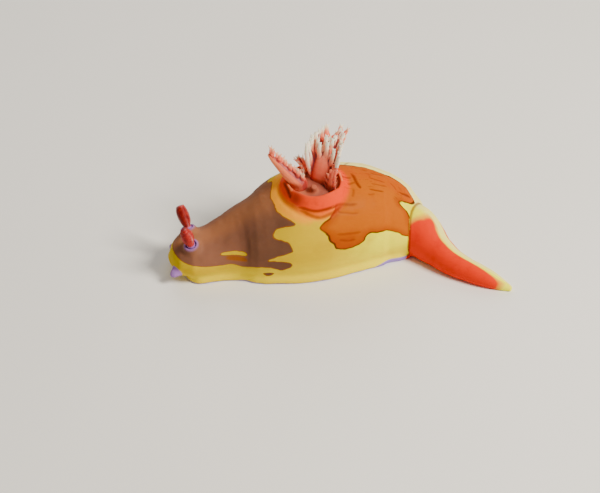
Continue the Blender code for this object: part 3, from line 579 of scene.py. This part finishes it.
class Finish:
    """One material: its nodes, and the Principled shader that they feed."""

    def __init__(self, name, **constants):
        self.material = bpy.data.materials.new(name)
        self.material.use_nodes = True
        self.tree = self.material.node_tree
        self.shader = self.tree.nodes["Principled BSDF"]
        for socket, value in constants.items():
            self.shader.inputs[socket.replace("_", " ")].default_value = value

    def node(self, kind, settings, sockets, output=0):
        """A node of this kind: its settings first, then the values or links of its sockets."""
        made = self.tree.nodes.new(kind)
        for name, value in settings.items():
            setattr(made, name, value)
        for name, value in sockets.items():
            join(self.tree, made.inputs[name], value)
        return Value(self.tree, made.outputs[output])

    def painted(self, name):
        """The numbers that paint stored on the piece under this name."""
        return self.node("ShaderNodeAttribute", {"attribute_name": name}, {}, 2)

    def place(self):
        """Where on the piece a point lies."""
        return self.node("ShaderNodeTexCoord", {}, {}, 3)

    def speckle(self, size, detail=2.0, rough=0.5):
        """Soft noise whose blots are about this many millimetres across, from 0 to 1."""
        sockets = {"Vector": self.place(), "Scale": 1 / (size * MM), "Detail": detail,
                   "Roughness": rough}
        return self.node("ShaderNodeTexNoise", {}, sockets)

    def rise(self, value, low, high):
        """0 below low, 1 above high, and a soft step between."""
        sockets = {"Value": value, "From Min": low, "From Max": high}
        return self.node("ShaderNodeMapRange", {"interpolation_type": "SMOOTHSTEP"}, sockets)

    def layers(self, colour, *coats):
        """The colour with each coat, a colour and its share, laid over it in turn."""
        for coat, share in coats:
            sockets = {0: share, 6: colour, 7: coat}
            colour = self.node("ShaderNodeMix", {"data_type": "RGBA"}, sockets, 2)
        return colour

    def bumped(self, height, deep, strength):
        """The direction of a surface that this height raises by some millimetres."""
        sockets = {"Strength": strength, "Distance": deep * MM, "Height": height}
        return self.node("ShaderNodeBump", {}, sockets)

    def feed(self, **values):
        """Links or sets the shader's own sockets."""
        for socket, value in values.items():
            join(self.tree, self.shader.inputs[socket.replace("_", " ")], value)

    def on(self, piece):
        """Gives the piece this material and no other."""
        piece.data.materials.clear()
        piece.data.materials.append(self.material)


def tint(red, green, blue):
    """A colour by the share of red, green and blue light that it sends back."""
    return (red, green, blue, 1.0)


# painted shade: the cream of the front half, darker and duller than the cream behind it
CREAM_FRONT = tint(0.63, 0.42, 0.0)
CREAM_REAR = tint(0.90, 0.83, 0.0)
# painted patchy shade: darker cream blotches laid by noise
CREAM_BLOTCH = tint(0.50, 0.31, 0.002)
CREAM_LOW = tint(0.88, 0.69, 0.006)
# painted highlight: paler cream over the right flank behind the gill, as if lit
CREAM_RIM = tint(0.92, 0.80, 0.26)
YELLOW = tint(0.93, 0.350, 0.0)
ORANGE = tint(0.47, 0.106, 0.0)
ORANGE_EDGE = tint(0.38, 0.066, 0.0)
ORANGE_BACK = tint(0.48, 0.083, 0.0)
# painted shade: the orange darker low on the left flank
ORANGE_LOW = tint(0.36, 0.054, 0.0)
ORANGE_OUTLINE = tint(0.085, 0.018, 0.002)
BROWN = tint(0.235, 0.096, 0.056)
BROWN_DARK = tint(0.098, 0.045, 0.025)
# warm brown, laid as random mottling and as painted light along the ridge
BROWN_WARM = tint(0.36, 0.135, 0.055)
RUST = tint(0.30, 0.085, 0.006)
TAIL_RED = tint(0.78, 0.027, 0.0)
TAIL_DEEP = tint(0.66, 0.014, 0.0)
TAIL_FLUSH = tint(0.80, 0.28, 0.030)
TAIL_CREAM = tint(0.92, 0.88, 0.02)
COLLAR_RED = tint(0.83, 0.052, 0.002)
COLLAR_DEEP = tint(0.34, 0.028, 0.012)
# painted highlight on the crests of two small raised folds
FOLD_PALE = tint(0.90, 0.22, 0.070)
# painted shade inside the pit of the gill's fold: dark red-brown, lighter towards its front and on
# the papilla
HOLLOW = tint(0.31, 0.078, 0.050)
HOLLOW_PALE = tint(0.60, 0.150, 0.066)
VIOLET = tint(0.24, 0.15, 0.64)
LOBE_VIOLET = tint(0.34, 0.17, 0.48)
# painted shade in the creases
CREASE = tint(0.16, 0.016, 0.001)
# where one colour gives way to the next, in millimetres along the body or degrees round from
# the ridge
REAR_CREAM_ALONG = (24.0, 36.0)
LOW_CREAM_ROUND = (96.0, 124.0)
FAR_SIDE_ROUND, FAR_SIDE_ALONG = (4.0, -22.0), (20.0, 30.0)
ORANGE_BACK_ROUND = (22.0, 2.0)
ORANGE_LOW_ROUND, ORANGE_LOW_ALONG = (66.0, 82.0), (33.0, 29.0)
WARM_BROWN_ROUND = (46.0, 10.0)
DARK_BROWN_ROUND, DARK_BROWN_ALONG = (20.0, 64.0), (8.0, 21.0)
TAIL_CREAM_ALONG = (44.0, 50.0)
HOLLOW_DARK_ALONG = (21.4, 24.6)
FOOT_REAR_ALONG = (34.5, 38.0)
FOOT_LINE_TOP, FOOT_LINE_RISE = 0.26, 0.60

wet_skin = Finish(
    "wet_skin", Subsurface_Weight=0.12, Subsurface_Radius=(1.0, 0.40, 0.15),
    Subsurface_Scale=0.8 * MM, Coat_Roughness=0.28, IOR=1.34, Specular_IOR_Level=0.05,
)
layers, rise, painted = wet_skin.layers, wet_skin.rise, wet_skin.painted
ragged = (wet_skin.speckle(1.1, 4.0, 0.55) - 0.5) * 0.45
fine = wet_skin.speckle(0.35, 3.0)
broad = wet_skin.speckle(5.0, 3.0)
medium = wet_skin.speckle(1.8, 4.0, 0.6)
along_body = painted("along")
round_from_ridge = painted("round")
round_to_left = painted("turn")

# painted highlight: a paler cream laid over the right flank behind the gill, on the body and the
# tail
far_side = rise(round_to_left, *FAR_SIDE_ROUND) * rise(along_body, *FAR_SIDE_ALONG)
ground = layers(
    # painted shade: the darker cream over the front half, with the lighter cream taking over from
    # 24 to 36 mm along
    CREAM_FRONT,
    (CREAM_REAR, rise(along_body, *REAR_CREAM_ALONG)),
    # painted patchy shade: darker blotches laid by noise over the cream
    (CREAM_BLOTCH, rise(broad, 0.48, 0.80) * 0.45),
    (CREAM_LOW, rise(round_from_ridge, *LOW_CREAM_ROUND) * 0.60),
    (CREAM_RIM, far_side),
    (YELLOW, rise(painted("yellow") + ragged, 0.0, 0.9)),
)
orange_in = painted("orange") + ragged * 0.7
# painted shade: the orange darker low on the left flank at the front of the patch
low_front = rise(round_to_left, *ORANGE_LOW_ROUND) * rise(along_body, *ORANGE_LOW_ALONG)
orange = layers(
    ORANGE_EDGE,
    (ORANGE, rise(orange_in, 0.1, 1.6)),
    (ORANGE_EDGE, rise(medium, 0.50, 0.75) * 0.30),
    (ORANGE_BACK, rise(round_to_left, *ORANGE_BACK_ROUND) * rise(medium, 0.20, 0.55)),
    (ORANGE_LOW, low_front * 0.8),
)
rim = rise(orange_in, -0.12, -0.02) * rise(orange_in, 0.28, 0.12)

brown_in = painted("brown") + ragged
to_fingers = rise(along_body + (medium - 0.5) * 5.0, *DARK_BROWN_ALONG)
brown = layers(
    BROWN,
    (BROWN_DARK, rise(broad, 0.40, 0.70) * 0.4),
    (BROWN_WARM, rise(medium, 0.48, 0.80) * 0.22),
    # painted light: a lighter, warmer brown along the ridge
    (BROWN_WARM, rise(round_from_ridge, *WARM_BROWN_ROUND) * 0.75),
    (BROWN_DARK, to_fingers * rise(round_from_ridge, *DARK_BROWN_ROUND) * 0.75),
    (RUST, rise(painted("rust"), -0.3, 0.3) * 0.85),
)
brown = layers(RUST, (brown, rise(brown_in, 0.0, 0.30)))

red_in = painted("red") + ragged
red = layers(TAIL_RED, (TAIL_DEEP, rise(medium, 0.45, 0.75) * 0.6))
tail_ground = layers(
    CREAM_REAR,
    (TAIL_CREAM, rise(along_body, *TAIL_CREAM_ALONG)),
    (CREAM_RIM, far_side * 0.8),
)
collar_in = painted("collar") + ragged * 0.5
collar = layers(
    COLLAR_RED,
    (COLLAR_DEEP, rise(medium, 0.50, 0.80) * 0.3),
    (COLLAR_DEEP, painted("collar_shade") * 0.9),
)
in_hollow = rise(painted("hollow"), -0.30, 0.75)
# painted shade: the pit inside the gill's fold, darkest behind, lighter at its front and on the
# papilla
hollow = layers(
    HOLLOW_PALE,
    (HOLLOW, rise(along_body, *HOLLOW_DARK_ALONG)),
    (HOLLOW_PALE, rise(painted("papilla"), 0.0, 1.0) * 0.35),
)
violet_top = FOOT_LINE_TOP + (broad - 0.5) * 0.7
violet_top = violet_top + FOOT_LINE_RISE * rise(along_body, *FOOT_REAR_ALONG)
violet = rise(violet_top - painted("height"), -0.12, 0.15) * rise(painted("tail"), 0.6, 0.2)
# painted shade: dark lines in the creases, the wrinkles, the mouth's slit and the join of trunk and
# tail
crease = rise(painted("crease_gap"), 1.7, 0.15) * painted("crease_dark")
crease = crease.worked("MAXIMUM", crease, painted("wrinkled") * 0.50)
crease = crease.worked("MAXIMUM", crease, rise(painted("junction"), 0.35, 1.0) * 0.9)
wet_skin.feed(
    Base_Color=layers(
        ground,
        (orange, rise(orange_in, -0.03, 0.07)),
        (ORANGE_OUTLINE, rim * (0.60 + 0.38 * rise(broad, 0.35, 0.55))),
        (brown, rise(brown_in, -0.04, 0.06)),
        (tail_ground, painted("tail")),
        (TAIL_FLUSH, rise(red_in, -1.3, -0.1) * 0.85),
        (red, rise(red_in, -0.25, 0.45)),
        (collar, rise(collar_in, -0.15, 0.75)),
        # painted highlight: paler pink along the crests of two small folds
        (FOLD_PALE, rise(painted("pale_fold"), 0.2, 0.9) * 0.75),
        (hollow, in_hollow),
        (VIOLET, violet * 0.9),
        (LOBE_VIOLET, rise(painted("lobe"), 0.5, 0.2)),
        (LOBE_VIOLET, rise(painted("sheath"), 0.3, 0.7) * 0.8),
        (CREASE, crease * (0.65 + 0.35 * broad)),
    ),
    Roughness=0.46 + 0.14 * fine,
    Coat_Weight=(0.004 + 0.016 * broad) * (1 - in_hollow),
    Normal=wet_skin.bumped(fine * 0.6 + wet_skin.speckle(0.12, 2.0) * 0.4, 0.04, 0.5),
)
wet_skin.on(skin)
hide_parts(*FLESH)
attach(skin, "root")

# Rhinophores. The two scent organs on the head are each a smooth soft stalk in a pocket of the
# skin, then a club of seventeen thin leaflets stacked along a core. Each is spun from its
# outline, its leaflets are tilted, and it is leant as its solid is.
ROUND_STEPS = 40
STALK_RADIUS = 0.74
STALK_WAIST = 0.96
STALK_ROOT = 0.66
STALK_TOP = 0.72
CLUB_FOOT = 0.975
CLUB_RADIUS = 0.96
CLUB_LENGTH = 3.9
LEAFY_LENGTH = 0.96 * CLUB_LENGTH
CLUB_SWELL = (0.20, 0.66, 0.8)
CORE_RADIUS, CLUB_TIP_RADIUS = 0.20, 0.16
LEAFLETS = 17
LEAFLET_RELIEF = 0.26
LEAFLET_PROFILE = (0.5, 0.42, -0.5, -0.42)
LEAFLET_TILT = 0.34
MAROON = tint(0.34, 0.006, 0.008)
MAROON_PALE = tint(0.58, 0.030, 0.016)
# painted shade for the clefts between the leaflets
MAROON_CLEFT = tint(0.06, 0.001, 0.003)


def club_radius(share):
    """The club's radius at a share of its leafy length, from its foot, in millimetres."""
    low, span, power = CLUB_SWELL
    return CLUB_RADIUS * np.sin(np.pi * np.clip(low + span * (1 - share), 0, 1)) ** power


def club_outline():
    """Radius and height of the stalk and the club, from the root up, in millimetres."""
    outline = [(0.0, -STALK_ROOT), (STALK_RADIUS, -STALK_ROOT),
               (STALK_RADIUS * STALK_WAIST, 0.2), (STALK_RADIUS, STALK_TOP)]
    for i in range(LEAFLETS * 4 + 1):
        share = i / (LEAFLETS * 4)
        radius = club_radius(share) + LEAFLET_RELIEF * LEAFLET_PROFILE[i % 4]
        radius = max(CORE_RADIUS, radius)
        outline.append((radius, CLUB_FOOT + LEAFY_LENGTH * share))
    outline.append((CLUB_TIP_RADIUS, CLUB_FOOT + CLUB_LENGTH * 0.99))
    outline.append((0.0, CLUB_FOOT + CLUB_LENGTH))
    return outline


rhinophore_red = Finish(
    "rhinophore_red", Subsurface_Weight=0.10, Subsurface_Radius=(1.0, 0.3, 0.2),
    Subsurface_Scale=0.5 * MM, Coat_Roughness=0.2, IOR=1.38, Coat_Weight=0.15,
)
rhinophore_red.feed(
    Base_Color=rhinophore_red.layers(
        MAROON,
        (MAROON_PALE, rhinophore_red.rise(rhinophore_red.speckle(0.6, 3.0), 0.35, 0.7)),
        (LOBE_VIOLET, rhinophore_red.painted("stalk")),
        # painted shade: darker in the clefts between the leaflets
        (MAROON_CLEFT, rhinophore_red.painted("cleft") * 0.85),
    ),
    Roughness=0.38 + 0.15 * rhinophore_red.speckle(0.3),
    Normal=rhinophore_red.bumped(rhinophore_red.speckle(0.15), 0.03, 0.5),
)


def rhinophore(name):
    """One rhinophore, spun upright about the origin with its leaflets tilted; the caller leans it
    to where its solid stands.
    """
    outline = club_outline()
    mesh = bpy.data.meshes.new(name)
    mesh.from_pydata([(r * MM, 0, z * MM) for r, z in outline],
                     [(i, i + 1) for i in range(len(outline) - 1)], [])
    piece = added(name, mesh)
    only(piece)
    bpy.ops.object.mode_set(mode="EDIT")
    bpy.ops.mesh.select_all(action="SELECT")
    bpy.ops.mesh.spin(steps=ROUND_STEPS, angle=2 * math.pi, center=(0, 0, 0), axis=(0, 0, 1))
    bpy.ops.mesh.select_all(action="SELECT")
    bpy.ops.mesh.remove_doubles(threshold=2 * SAME_PLACE)
    bpy.ops.mesh.normals_make_consistent(inside=False)
    bpy.ops.object.mode_set(mode="OBJECT")
    corners = corners_of(piece)
    height = corners[:, 2] / MM
    radius = np.linalg.norm(corners[:, :2], axis=1) / MM
    share = (height - CLUB_FOOT) / LEAFY_LENGTH
    on_club = (share > 0) & (share < 1)
    cleft = np.clip((club_radius(share) - radius) / LEAFLET_RELIEF + 0.5, 0, 1)
    paint(piece, stalk=share < -0.03, cleft=np.where(on_club, cleft, 0))
    tilt = corners[:, 0] * LEAFLET_TILT * np.sin(np.pi * np.clip(share, 0, 1))
    corners[:, 2] += np.where(on_club, tilt, 0)
    move_corners(piece, corners)
    return piece


def lean_of(node):
    """Where a rhinophore's solid stands: the middle of its foot and the way to its tip."""
    points = corners_of(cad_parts[node])
    middle = points.mean(axis=0)
    _, _, ways = np.linalg.svd(points - middle)
    way = ways[0] * np.sign(ways[0][2])
    heights = (points - middle) @ way
    foot = middle + way * heights.min()
    return Vector(foot), Vector(way)


for node in ("rhinophore_left", "rhinophore_right"):
    piece = rhinophore(f"{node}_club")
    foot, way = lean_of(node)
    turn_to = way.to_track_quat("Z", "Y").to_matrix().to_4x4()
    piece.data.transform(Matrix.Translation(foot + way * STALK_ROOT * MM) @ turn_to)
    piece.data.shade_smooth()
    rhinophore_red.on(piece)
    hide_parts(node)
    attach(piece, "root")

# Gill leaves. Five feathery leaves stand in a fold of the back. Each is a soft red stem with side
# branches at both edges and on its inner face, which carry twigs and pale towards their tips.
# All are tapering oval tubes, rooted in the skin and remeshed in one.
LEAVES = (
    # name, root x and y, bearing, reach, rise, half width and thickness, taper, pairs of side
    # branches, lengths of the first and the last, their turn inwards in degrees, bow of the
    # stem, paleness, how much duller the lower branches are, number of branches on the face,
    # turn of the face from the left side in degrees, a branch's angles at its root and its tip,
    # and the share of the first angle that the lowest branch has
    ("gill_leaf_front", -3.3, -2.2, 168, 5.3, 5.4, 1.80, 1.60, 0.60,
     9, 2.5, 1.8, 30, 0.00, 0.64, 0.00, 0, 40, 72, 34, 1.0),
    ("gill_leaf_right_front", -2.3, 0.7, 150, 1.2, 1.9, 0.50, 0.45, 0.80,
     4, 1.7, 1.3, 66, 0.60, 0.90, 0.00, 0, 0, 54, 6, 1.0),
    ("gill_leaf_right", 0.6, -1.6, 66, 3.8, 6.9, 2.25, 0.95, 0.55,
     8, 6.6, 2.2, 74, 0.60, 1.00, 0.00, 7, 0, 46, 4, 0.42),
    ("gill_leaf_right_rear", 1.9, -0.1, 56, 4.0, 6.6, 0.95, 0.65, 0.45,
     7, 2.4, 1.8, 70, 0.50, 0.95, 0.80, 2, 0, 44, 4, 0.6),
    ("gill_leaf_rear", 2.1, -3.6, 50, 1.1, 4.2, 0.95, 0.48, 0.60,
     5, 1.0, 0.8, 62, 0.60, 0.50, 0.40, 0, 0, 54, 6, 1.0),
)
GILL_MESH = 0.08 * MM
STEM_POINTS = 12
STEM_TIP = 0.22
STEM_FOOT = 1.8
STEM_PALENESS, STEM_PALE_POWER = 1.25, 1.7
FIRST_PAIR, LAST_PAIR = 0.06, 0.96
BRANCH_PALE, BRANCH_PALE_POWER = 0.05, 1.2
LOW_BRANCH_PALER, LOW_BRANCHES = 0.70, 0.32
FACE_PALE_POWER = 1.1
FACE_FROM, FACE_SPAN = 0.34, 0.44
FACE_ASIDE = (-0.80, 0.45, -0.15, 0.85, -0.50, 0.20, -0.70)
FACE_LENGTH = 0.80
FACE_ROOT_ANGLE, FACE_TIP_ANGLE, FACE_UNEVEN = 30, 2, 5
BRANCH_SUNK = 0.35
BRANCH_LENGTHS = (0.86, 1.06)
UNEVEN_DEGREES = 9
BRANCH_WIDE = (0.51, 0.29)
BRANCH_THICK = (0.31, 0.18)
BRANCH_POINTS = 11
BRANCH_END_LOSS, BRANCH_END_POWER = 0.93, 8
TWIG_POINTS = 4
TWIG_ANGLES = (38, 10)
TWIG_LEAST, TWIG_SWELL = 0.54, 0.30
TWIG_HALF = (0.13, 0.08)
TWIG_STEP = 0.60
TWIG_PALER = np.array((0.0, 0.10, 0.22, 0.35))
PIT_FLOOR = 16.3
draw = np.random.default_rng(11)

back_tree = tree_of("back_middle")


def branch_line(root, way, outwards, reach, spread, count):
    """Points of a branch that leaves at the first angle from the way and bends to the second."""
    points = [root]
    for angle in np.radians(np.linspace(*spread, count - 1)):
        step = way * math.cos(angle) + outwards * math.sin(angle)
        points.append(points[-1] + step * reach / (count - 1))
    return points


def paleness(start, power, pallor):
    """How pale a branch is at each of its points, from this at its root to the leaf's own."""
    return (start + (1 - start) * np.linspace(0, 1, BRANCH_POINTS) ** power) * pallor


def side_branch(place, way, outwards, flat, long, spread, pale, branches):
    """A side branch with its breadth in the leaf, and a pair of twigs at each short step."""
    last = BRANCH_POINTS - 1
    points = branch_line(place, way, outwards, long * MM, spread, BRANCH_POINTS)
    across = flat.cross(points[1] - points[0]).normalized()
    loss = BRANCH_END_LOSS * np.linspace(0, 1, BRANCH_POINTS) ** BRANCH_END_POWER
    rounding = np.sqrt(1 - loss)
    wide = np.linspace(*BRANCH_WIDE, BRANCH_POINTS) * rounding
    thick = np.linspace(*BRANCH_THICK, BRANCH_POINTS) * rounding
    branches.append((points, across, list(zip(wide, thick)), pale))
    twigs = round(long / TWIG_STEP)
    for twig in range(1, twigs):
        at = last * (twig + 0.2) / twigs
        k = min(int(at), last - 1)
        spot = points[k].lerp(points[k + 1], at - k)
        ahead = (points[k + 1] - points[k]).normalized()
        parent = float(np.interp(at, range(BRANCH_POINTS), pale))
        arch = math.sin(math.pi * twig / twigs)
        small = (TWIG_LEAST + TWIG_SWELL * arch) * draw.uniform(0.8, 1.15)
        for hand in (-1, 1):
            out = flat.cross(ahead).normalized() * hand + flat * draw.uniform(-0.4, 0.4)
            line = branch_line(spot, ahead, out.normalized(), small * MM, TWIG_ANGLES, TWIG_POINTS)
            half = [(size, size) for size in np.linspace(*TWIG_HALF, TWIG_POINTS)]
            branches.append((line, out.cross(ahead), half, parent + TWIG_PALER * pale[-1]))


def leaf_branches(facts):
    """A leaf's stem and branches, each as points, the way of its breadth, half sizes, paleness."""
    x, y, bearing, reach, rise, wide, thick, taper = facts[1:9]
    pairs, first, last, facing, bow, pallor, dull = facts[9:16]
    on_face, roll, root_angle, tip_angle, hug = facts[16:]
    heading = math.radians(bearing)
    outward = Vector((math.cos(heading), math.sin(heading), 0))
    sideways = Vector((-outward.y, outward.x, 0))
    high = back_tree.ray_cast(Vector((x * MM, y * MM, 1)), Vector((0, 0, -1)))[0].z
    root = Vector((x * MM, y * MM, high))
    elbow = root + Vector((0, 0, rise * bow * MM))
    tip = root + outward * reach * MM + Vector((0, 0, rise * MM))
    sideways = (Matrix.Rotation(math.radians(roll), 3, tip - root) @ sideways).normalized()
    shares = np.linspace(0, 1, STEM_POINTS)
    line = [root * (1 - t) ** 2 + elbow * 2 * t * (1 - t) + tip * t**2 for t in shares]
    line.insert(0, root - Vector((0, 0, STEM_FOOT * MM)))
    shares = np.insert(shares, 0, 0.0)
    halves = [
        (wide * (1 - t) ** taper + STEM_TIP * t, thick * (1 - t) ** taper + STEM_TIP * t)
        for t in shares
    ]
    stem_pale = STEM_PALENESS * shares**STEM_PALE_POWER * pallor**2
    branches = [(line, sideways, halves, stem_pale)]

    def on_stem(share):
        """The place at a share of the stem, its way on, the way inwards and the half width."""
        at = 1 + share * (STEM_POINTS - 1)
        i = min(int(at), STEM_POINTS - 1)
        place = line[i].lerp(line[i + 1], at - i)
        way = (line[i + 1] - line[i]).normalized()
        return place, way, way.cross(sideways).normalized(), halves[i][0]

    for share in np.linspace(FIRST_PAIR, LAST_PAIR, pairs):
        place, way, inward, half = on_stem(share)
        start_pale = BRANCH_PALE + LOW_BRANCH_PALER * max(0.0, 1 - share / LOW_BRANCHES)
        pale = paleness(start_pale, BRANCH_PALE_POWER, pallor)
        pale *= 1 - dull * (1 - share)
        for side in (-1, 1):
            angle = math.radians(facing + draw.uniform(-UNEVEN_DEGREES, UNEVEN_DEGREES))
            outwards = sideways * (side * math.sin(angle)) + inward * math.cos(angle)
            aside = side * math.sin(angle) * max(0.0, half - BRANCH_SUNK)
            start = place + sideways * aside * MM
            long = (first + (last - first) * share) * draw.uniform(*BRANCH_LENGTHS)
            at_tip = tip_angle + draw.uniform(-UNEVEN_DEGREES, UNEVEN_DEGREES)
            spread = (root_angle * (hug + (1 - hug) * share), at_tip)
            flat = way.cross(outwards).normalized()
            side_branch(start, way, outwards, flat, long, spread, pale, branches)
    for row in range(on_face):
        share = FACE_FROM + FACE_SPAN * row / on_face
        place, way, inward, half = on_stem(share)
        outwards = (inward + sideways * FACE_ASIDE[row]).normalized()
        start = place + sideways * FACE_ASIDE[row] * half * 0.7 * MM
        pale = paleness(BRANCH_PALE, FACE_PALE_POWER, pallor)
        long = (first + (last - first) * share) * FACE_LENGTH
        spread = (FACE_ROOT_ANGLE, FACE_TIP_ANGLE + draw.uniform(-FACE_UNEVEN, FACE_UNEVEN))
        side_branch(start, way, outwards, inward, long, spread, pale, branches)
    return branches


def oval_tubes(name, branches, sides):
    """One piece with a closed tapering oval tube along each branch."""
    corners, faces = [], []
    turns = np.linspace(0, 2 * math.pi, sides, endpoint=False)
    for points, sideways, halves, _ in branches:
        first = len(corners)
        last = len(points) - 1
        for i, (point, (wide, thick)) in enumerate(zip(points, halves)):
            way = (points[min(i + 1, last)] - points[max(i - 1, 0)]).normalized()
            inward = way.cross(sideways).normalized()
            across = inward.cross(way)
            corners += [
                point + (across * wide * math.cos(a) + inward * thick * math.sin(a)) * MM
                for a in turns
            ]
        for i in range(last):
            for k in range(sides):
                a, b = first + i * sides + k, first + i * sides + (k + 1) % sides
                faces.append((a, b, b + sides, a + sides))
        faces.append(tuple(range(first, first + sides))[::-1])
        faces.append(tuple(range(first + last * sides, first + (last + 1) * sides)))
    mesh = bpy.data.meshes.new(name)
    mesh.from_pydata(corners, [], faces)
    return added(name, mesh)


def hollows_of(piece, rounds):
    """How far each corner lies in a groove, in millimetres, or less than 0 on a ridge."""
    ends = np.empty(len(piece.data.edges) * 2, dtype=int)
    piece.data.edges.foreach_get("vertices", ends)
    left, right = ends.reshape(-1, 2).T
    count = len(piece.data.vertices)
    links = np.bincount(left, minlength=count) + np.bincount(right, minlength=count)

    def mean_of_neighbours(values):
        """The mean of the numbers at the ends of each corner's edges."""
        total = np.bincount(left, values[right], count) + np.bincount(right, values[left], count)
        return total / links

    corners = corners_of(piece)
    pull = np.stack([mean_of_neighbours(corners[:, k]) for k in range(3)], axis=1) - corners
    depth = (pull * normals_of(piece)).sum(axis=1) / MM
    for _ in range(rounds):
        depth = 0.5 * depth + 0.5 * mean_of_neighbours(depth)
    return depth


def shades_on(corners, branches):
    """The paleness of each corner, from the branches that it lies on the surface of."""
    spots = np.array([point for points, _, _, _ in branches for point in points])
    halves = np.array([sum(half) / 2 for _, _, sizes, _ in branches for half in sizes])
    shades = np.array([shade for _, _, _, row in branches for shade in row])
    made = []
    for start in range(0, len(corners), CORNERS_AT_ONCE):
        block = corners[start:start + CORNERS_AT_ONCE]
        gaps = np.linalg.norm(block[:, None, :] - spots[None, :, :], axis=2) / MM
        weights = 1 / (0.03 + np.maximum(0, gaps / halves - 1) ** 2) ** 2
        made.append((weights * shades).sum(axis=1) / weights.sum(axis=1))
    return np.concatenate(made)


def back_of(corners, line, sideways, halves):
    """How far each corner lies on the outer side of the stem, in shares of its half thickness."""
    points = np.array(line)
    ways = np.gradient(points, axis=0)
    inward = np.cross(ways, np.array(sideways))
    inward /= np.linalg.norm(inward, axis=1, keepdims=True)
    nearest = np.linalg.norm(corners[:, None, :] - points[None, :, :], axis=2).argmin(axis=1)
    thick = np.array([thick for _, thick in halves])[nearest]
    return -((corners - points[nearest]) * inward[nearest]).sum(axis=1) / MM / thick


GILL_RED = tint(1.0, 0.165, 0.080)
GILL_ROSE = tint(1.0, 0.22, 0.12)
GILL_PALE = tint(0.95, 0.44, 0.26)
GILL_TIP = tint(1.0, 0.87, 0.70)
GILL_BACK = tint(0.96, 0.24, 0.095)
# painted shade for the grooves between the branches
GILL_GROOVE = tint(0.20, 0.030, 0.052)
GILL_SHADE = tint(0.36, 0.022, 0.020)
# painted shade for the leaves' roots down in the pit
GILL_DARK = tint(0.24, 0.016, 0.012)
gill_skin = Finish(
    "gill_skin", Subsurface_Weight=0.5, Subsurface_Radius=(1.0, 0.35, 0.25),
    Subsurface_Scale=1.2 * MM, Coat_Roughness=0.2, IOR=1.34, Coat_Weight=0.06,
)
rise, painted = gill_skin.rise, gill_skin.painted
mottle = gill_skin.speckle(0.6, 3.0)
pale = painted("pale") + (mottle - 0.5) * 0.20
unpale = rise(pale, 0.7, 0.4)
back = painted("back")
inner_edge = rise(back, -0.90, -0.50) * rise(back, 0.10, -0.15)
gill_skin.feed(
    Base_Color=gill_skin.layers(
        GILL_RED,
        (GILL_ROSE, rise(pale, 0.10, 0.40)),
        (GILL_PALE, rise(pale, 0.34, 0.60)),
        (GILL_TIP, rise(pale, 0.52, 0.85)),
        (GILL_SHADE, inner_edge * unpale * 0.9),
        (GILL_BACK, rise(back, -0.10, 0.25) * unpale),
        # painted shade: darker mauve in the grooves and hollows between the branches
        (GILL_GROOVE, rise(painted("groove"), 0.0003, 0.003) * 0.85),
        # painted shade: the leaves darker towards their roots down in the pit
        (GILL_DARK, rise(painted("depth"), 1.0, 0.0) * 0.75),
    ),
    Roughness=0.40 + 0.15 * mottle,
    Normal=gill_skin.bumped(mottle, 0.04, 0.4),
)

for facts in LEAVES:
    name = facts[0]
    branches = leaf_branches(facts)
    leaf = oval_tubes(name + "_plume", branches, sides=16)
    shaped(leaf, "REMESH", mode="VOXEL", voxel_size=GILL_MESH)
    leaf = whole_only(leaf)
    leaf.name = name + "_plume"
    shaped(leaf, "SMOOTH", factor=0.5, iterations=3)
    corners = corners_of(leaf)
    paint(
        leaf, pale=shades_on(corners, branches), groove=hollows_of(leaf, rounds=10),
        back=back_of(corners, *branches[0][:3]), depth=corners[:, 2] / MM - PIT_FLOOR,
    )
    leaf.data.shade_smooth()
    gill_skin.on(leaf)
    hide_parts(name)
    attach(leaf, "root")

# Floor, light and camera. The model lies on a plain pale floor under a soft key lamp, above it on
# the right and a little in front, a weaker lamp behind it on the left, and pale air. The camera
# looks down on its left side.
FLOOR_PALE = tint(0.90, 0.88, 0.85)
FLOOR_DULL = tint(0.84, 0.82, 0.78)
VIEW_TARGET = Vector((-3.15, 0, 0.78)) * MM
VIEW_TILT = math.radians(38)
VIEW_DISTANCE = 0.35

bpy.ops.mesh.primitive_plane_add(size=3.0, location=(0, 0, 0))
floor = bpy.context.object
floor.name = "floor"
floor_finish = Finish("floor_finish", Roughness=0.85)
floor_finish.feed(
    Base_Color=floor_finish.layers(FLOOR_DULL, (FLOOR_PALE, floor_finish.speckle(60.0))),
)
floor_finish.on(floor)

camera_data = bpy.data.cameras.new("camera")
camera_data.lens = 120
camera_data.sensor_width = 36
camera_data.clip_start = 0.01
camera = added("camera", camera_data)
back_off = Vector((0, -math.cos(VIEW_TILT), math.sin(VIEW_TILT)))
camera.location = VIEW_TARGET + back_off * VIEW_DISTANCE
camera.rotation_euler = (-back_off).to_track_quat("-Z", "Y").to_euler()
bpy.context.scene.camera = camera


def softbox(name, place, aim, size, power, colour):
    """A square soft lamp at a place, turned to a point."""
    data = bpy.data.lights.new(name, "AREA")
    data.size = size
    data.energy = power
    data.color = colour
    lamp = added(name, data)
    lamp.location = place
    lamp.rotation_euler = (Vector(aim) - Vector(place)).to_track_quat("-Z", "Y").to_euler()


softbox("key_lamp", place=(0.26, -0.14, 0.30), aim=(0, 0, 0.008), size=0.14, power=3.05,
        colour=(1.0, 0.93, 0.80))
softbox("back_lamp", place=(-0.05, 0.36, 0.26), aim=(0, 0, 0.006), size=0.30, power=1.0,
        colour=(1.0, 0.96, 0.90))
world = bpy.data.worlds.new("pale_air")
world.use_nodes = True
world.node_tree.nodes["Background"].inputs["Color"].default_value = (1.0, 0.98, 0.94, 1)
world.node_tree.nodes["Background"].inputs["Strength"].default_value = 0.26
bpy.context.scene.world = world
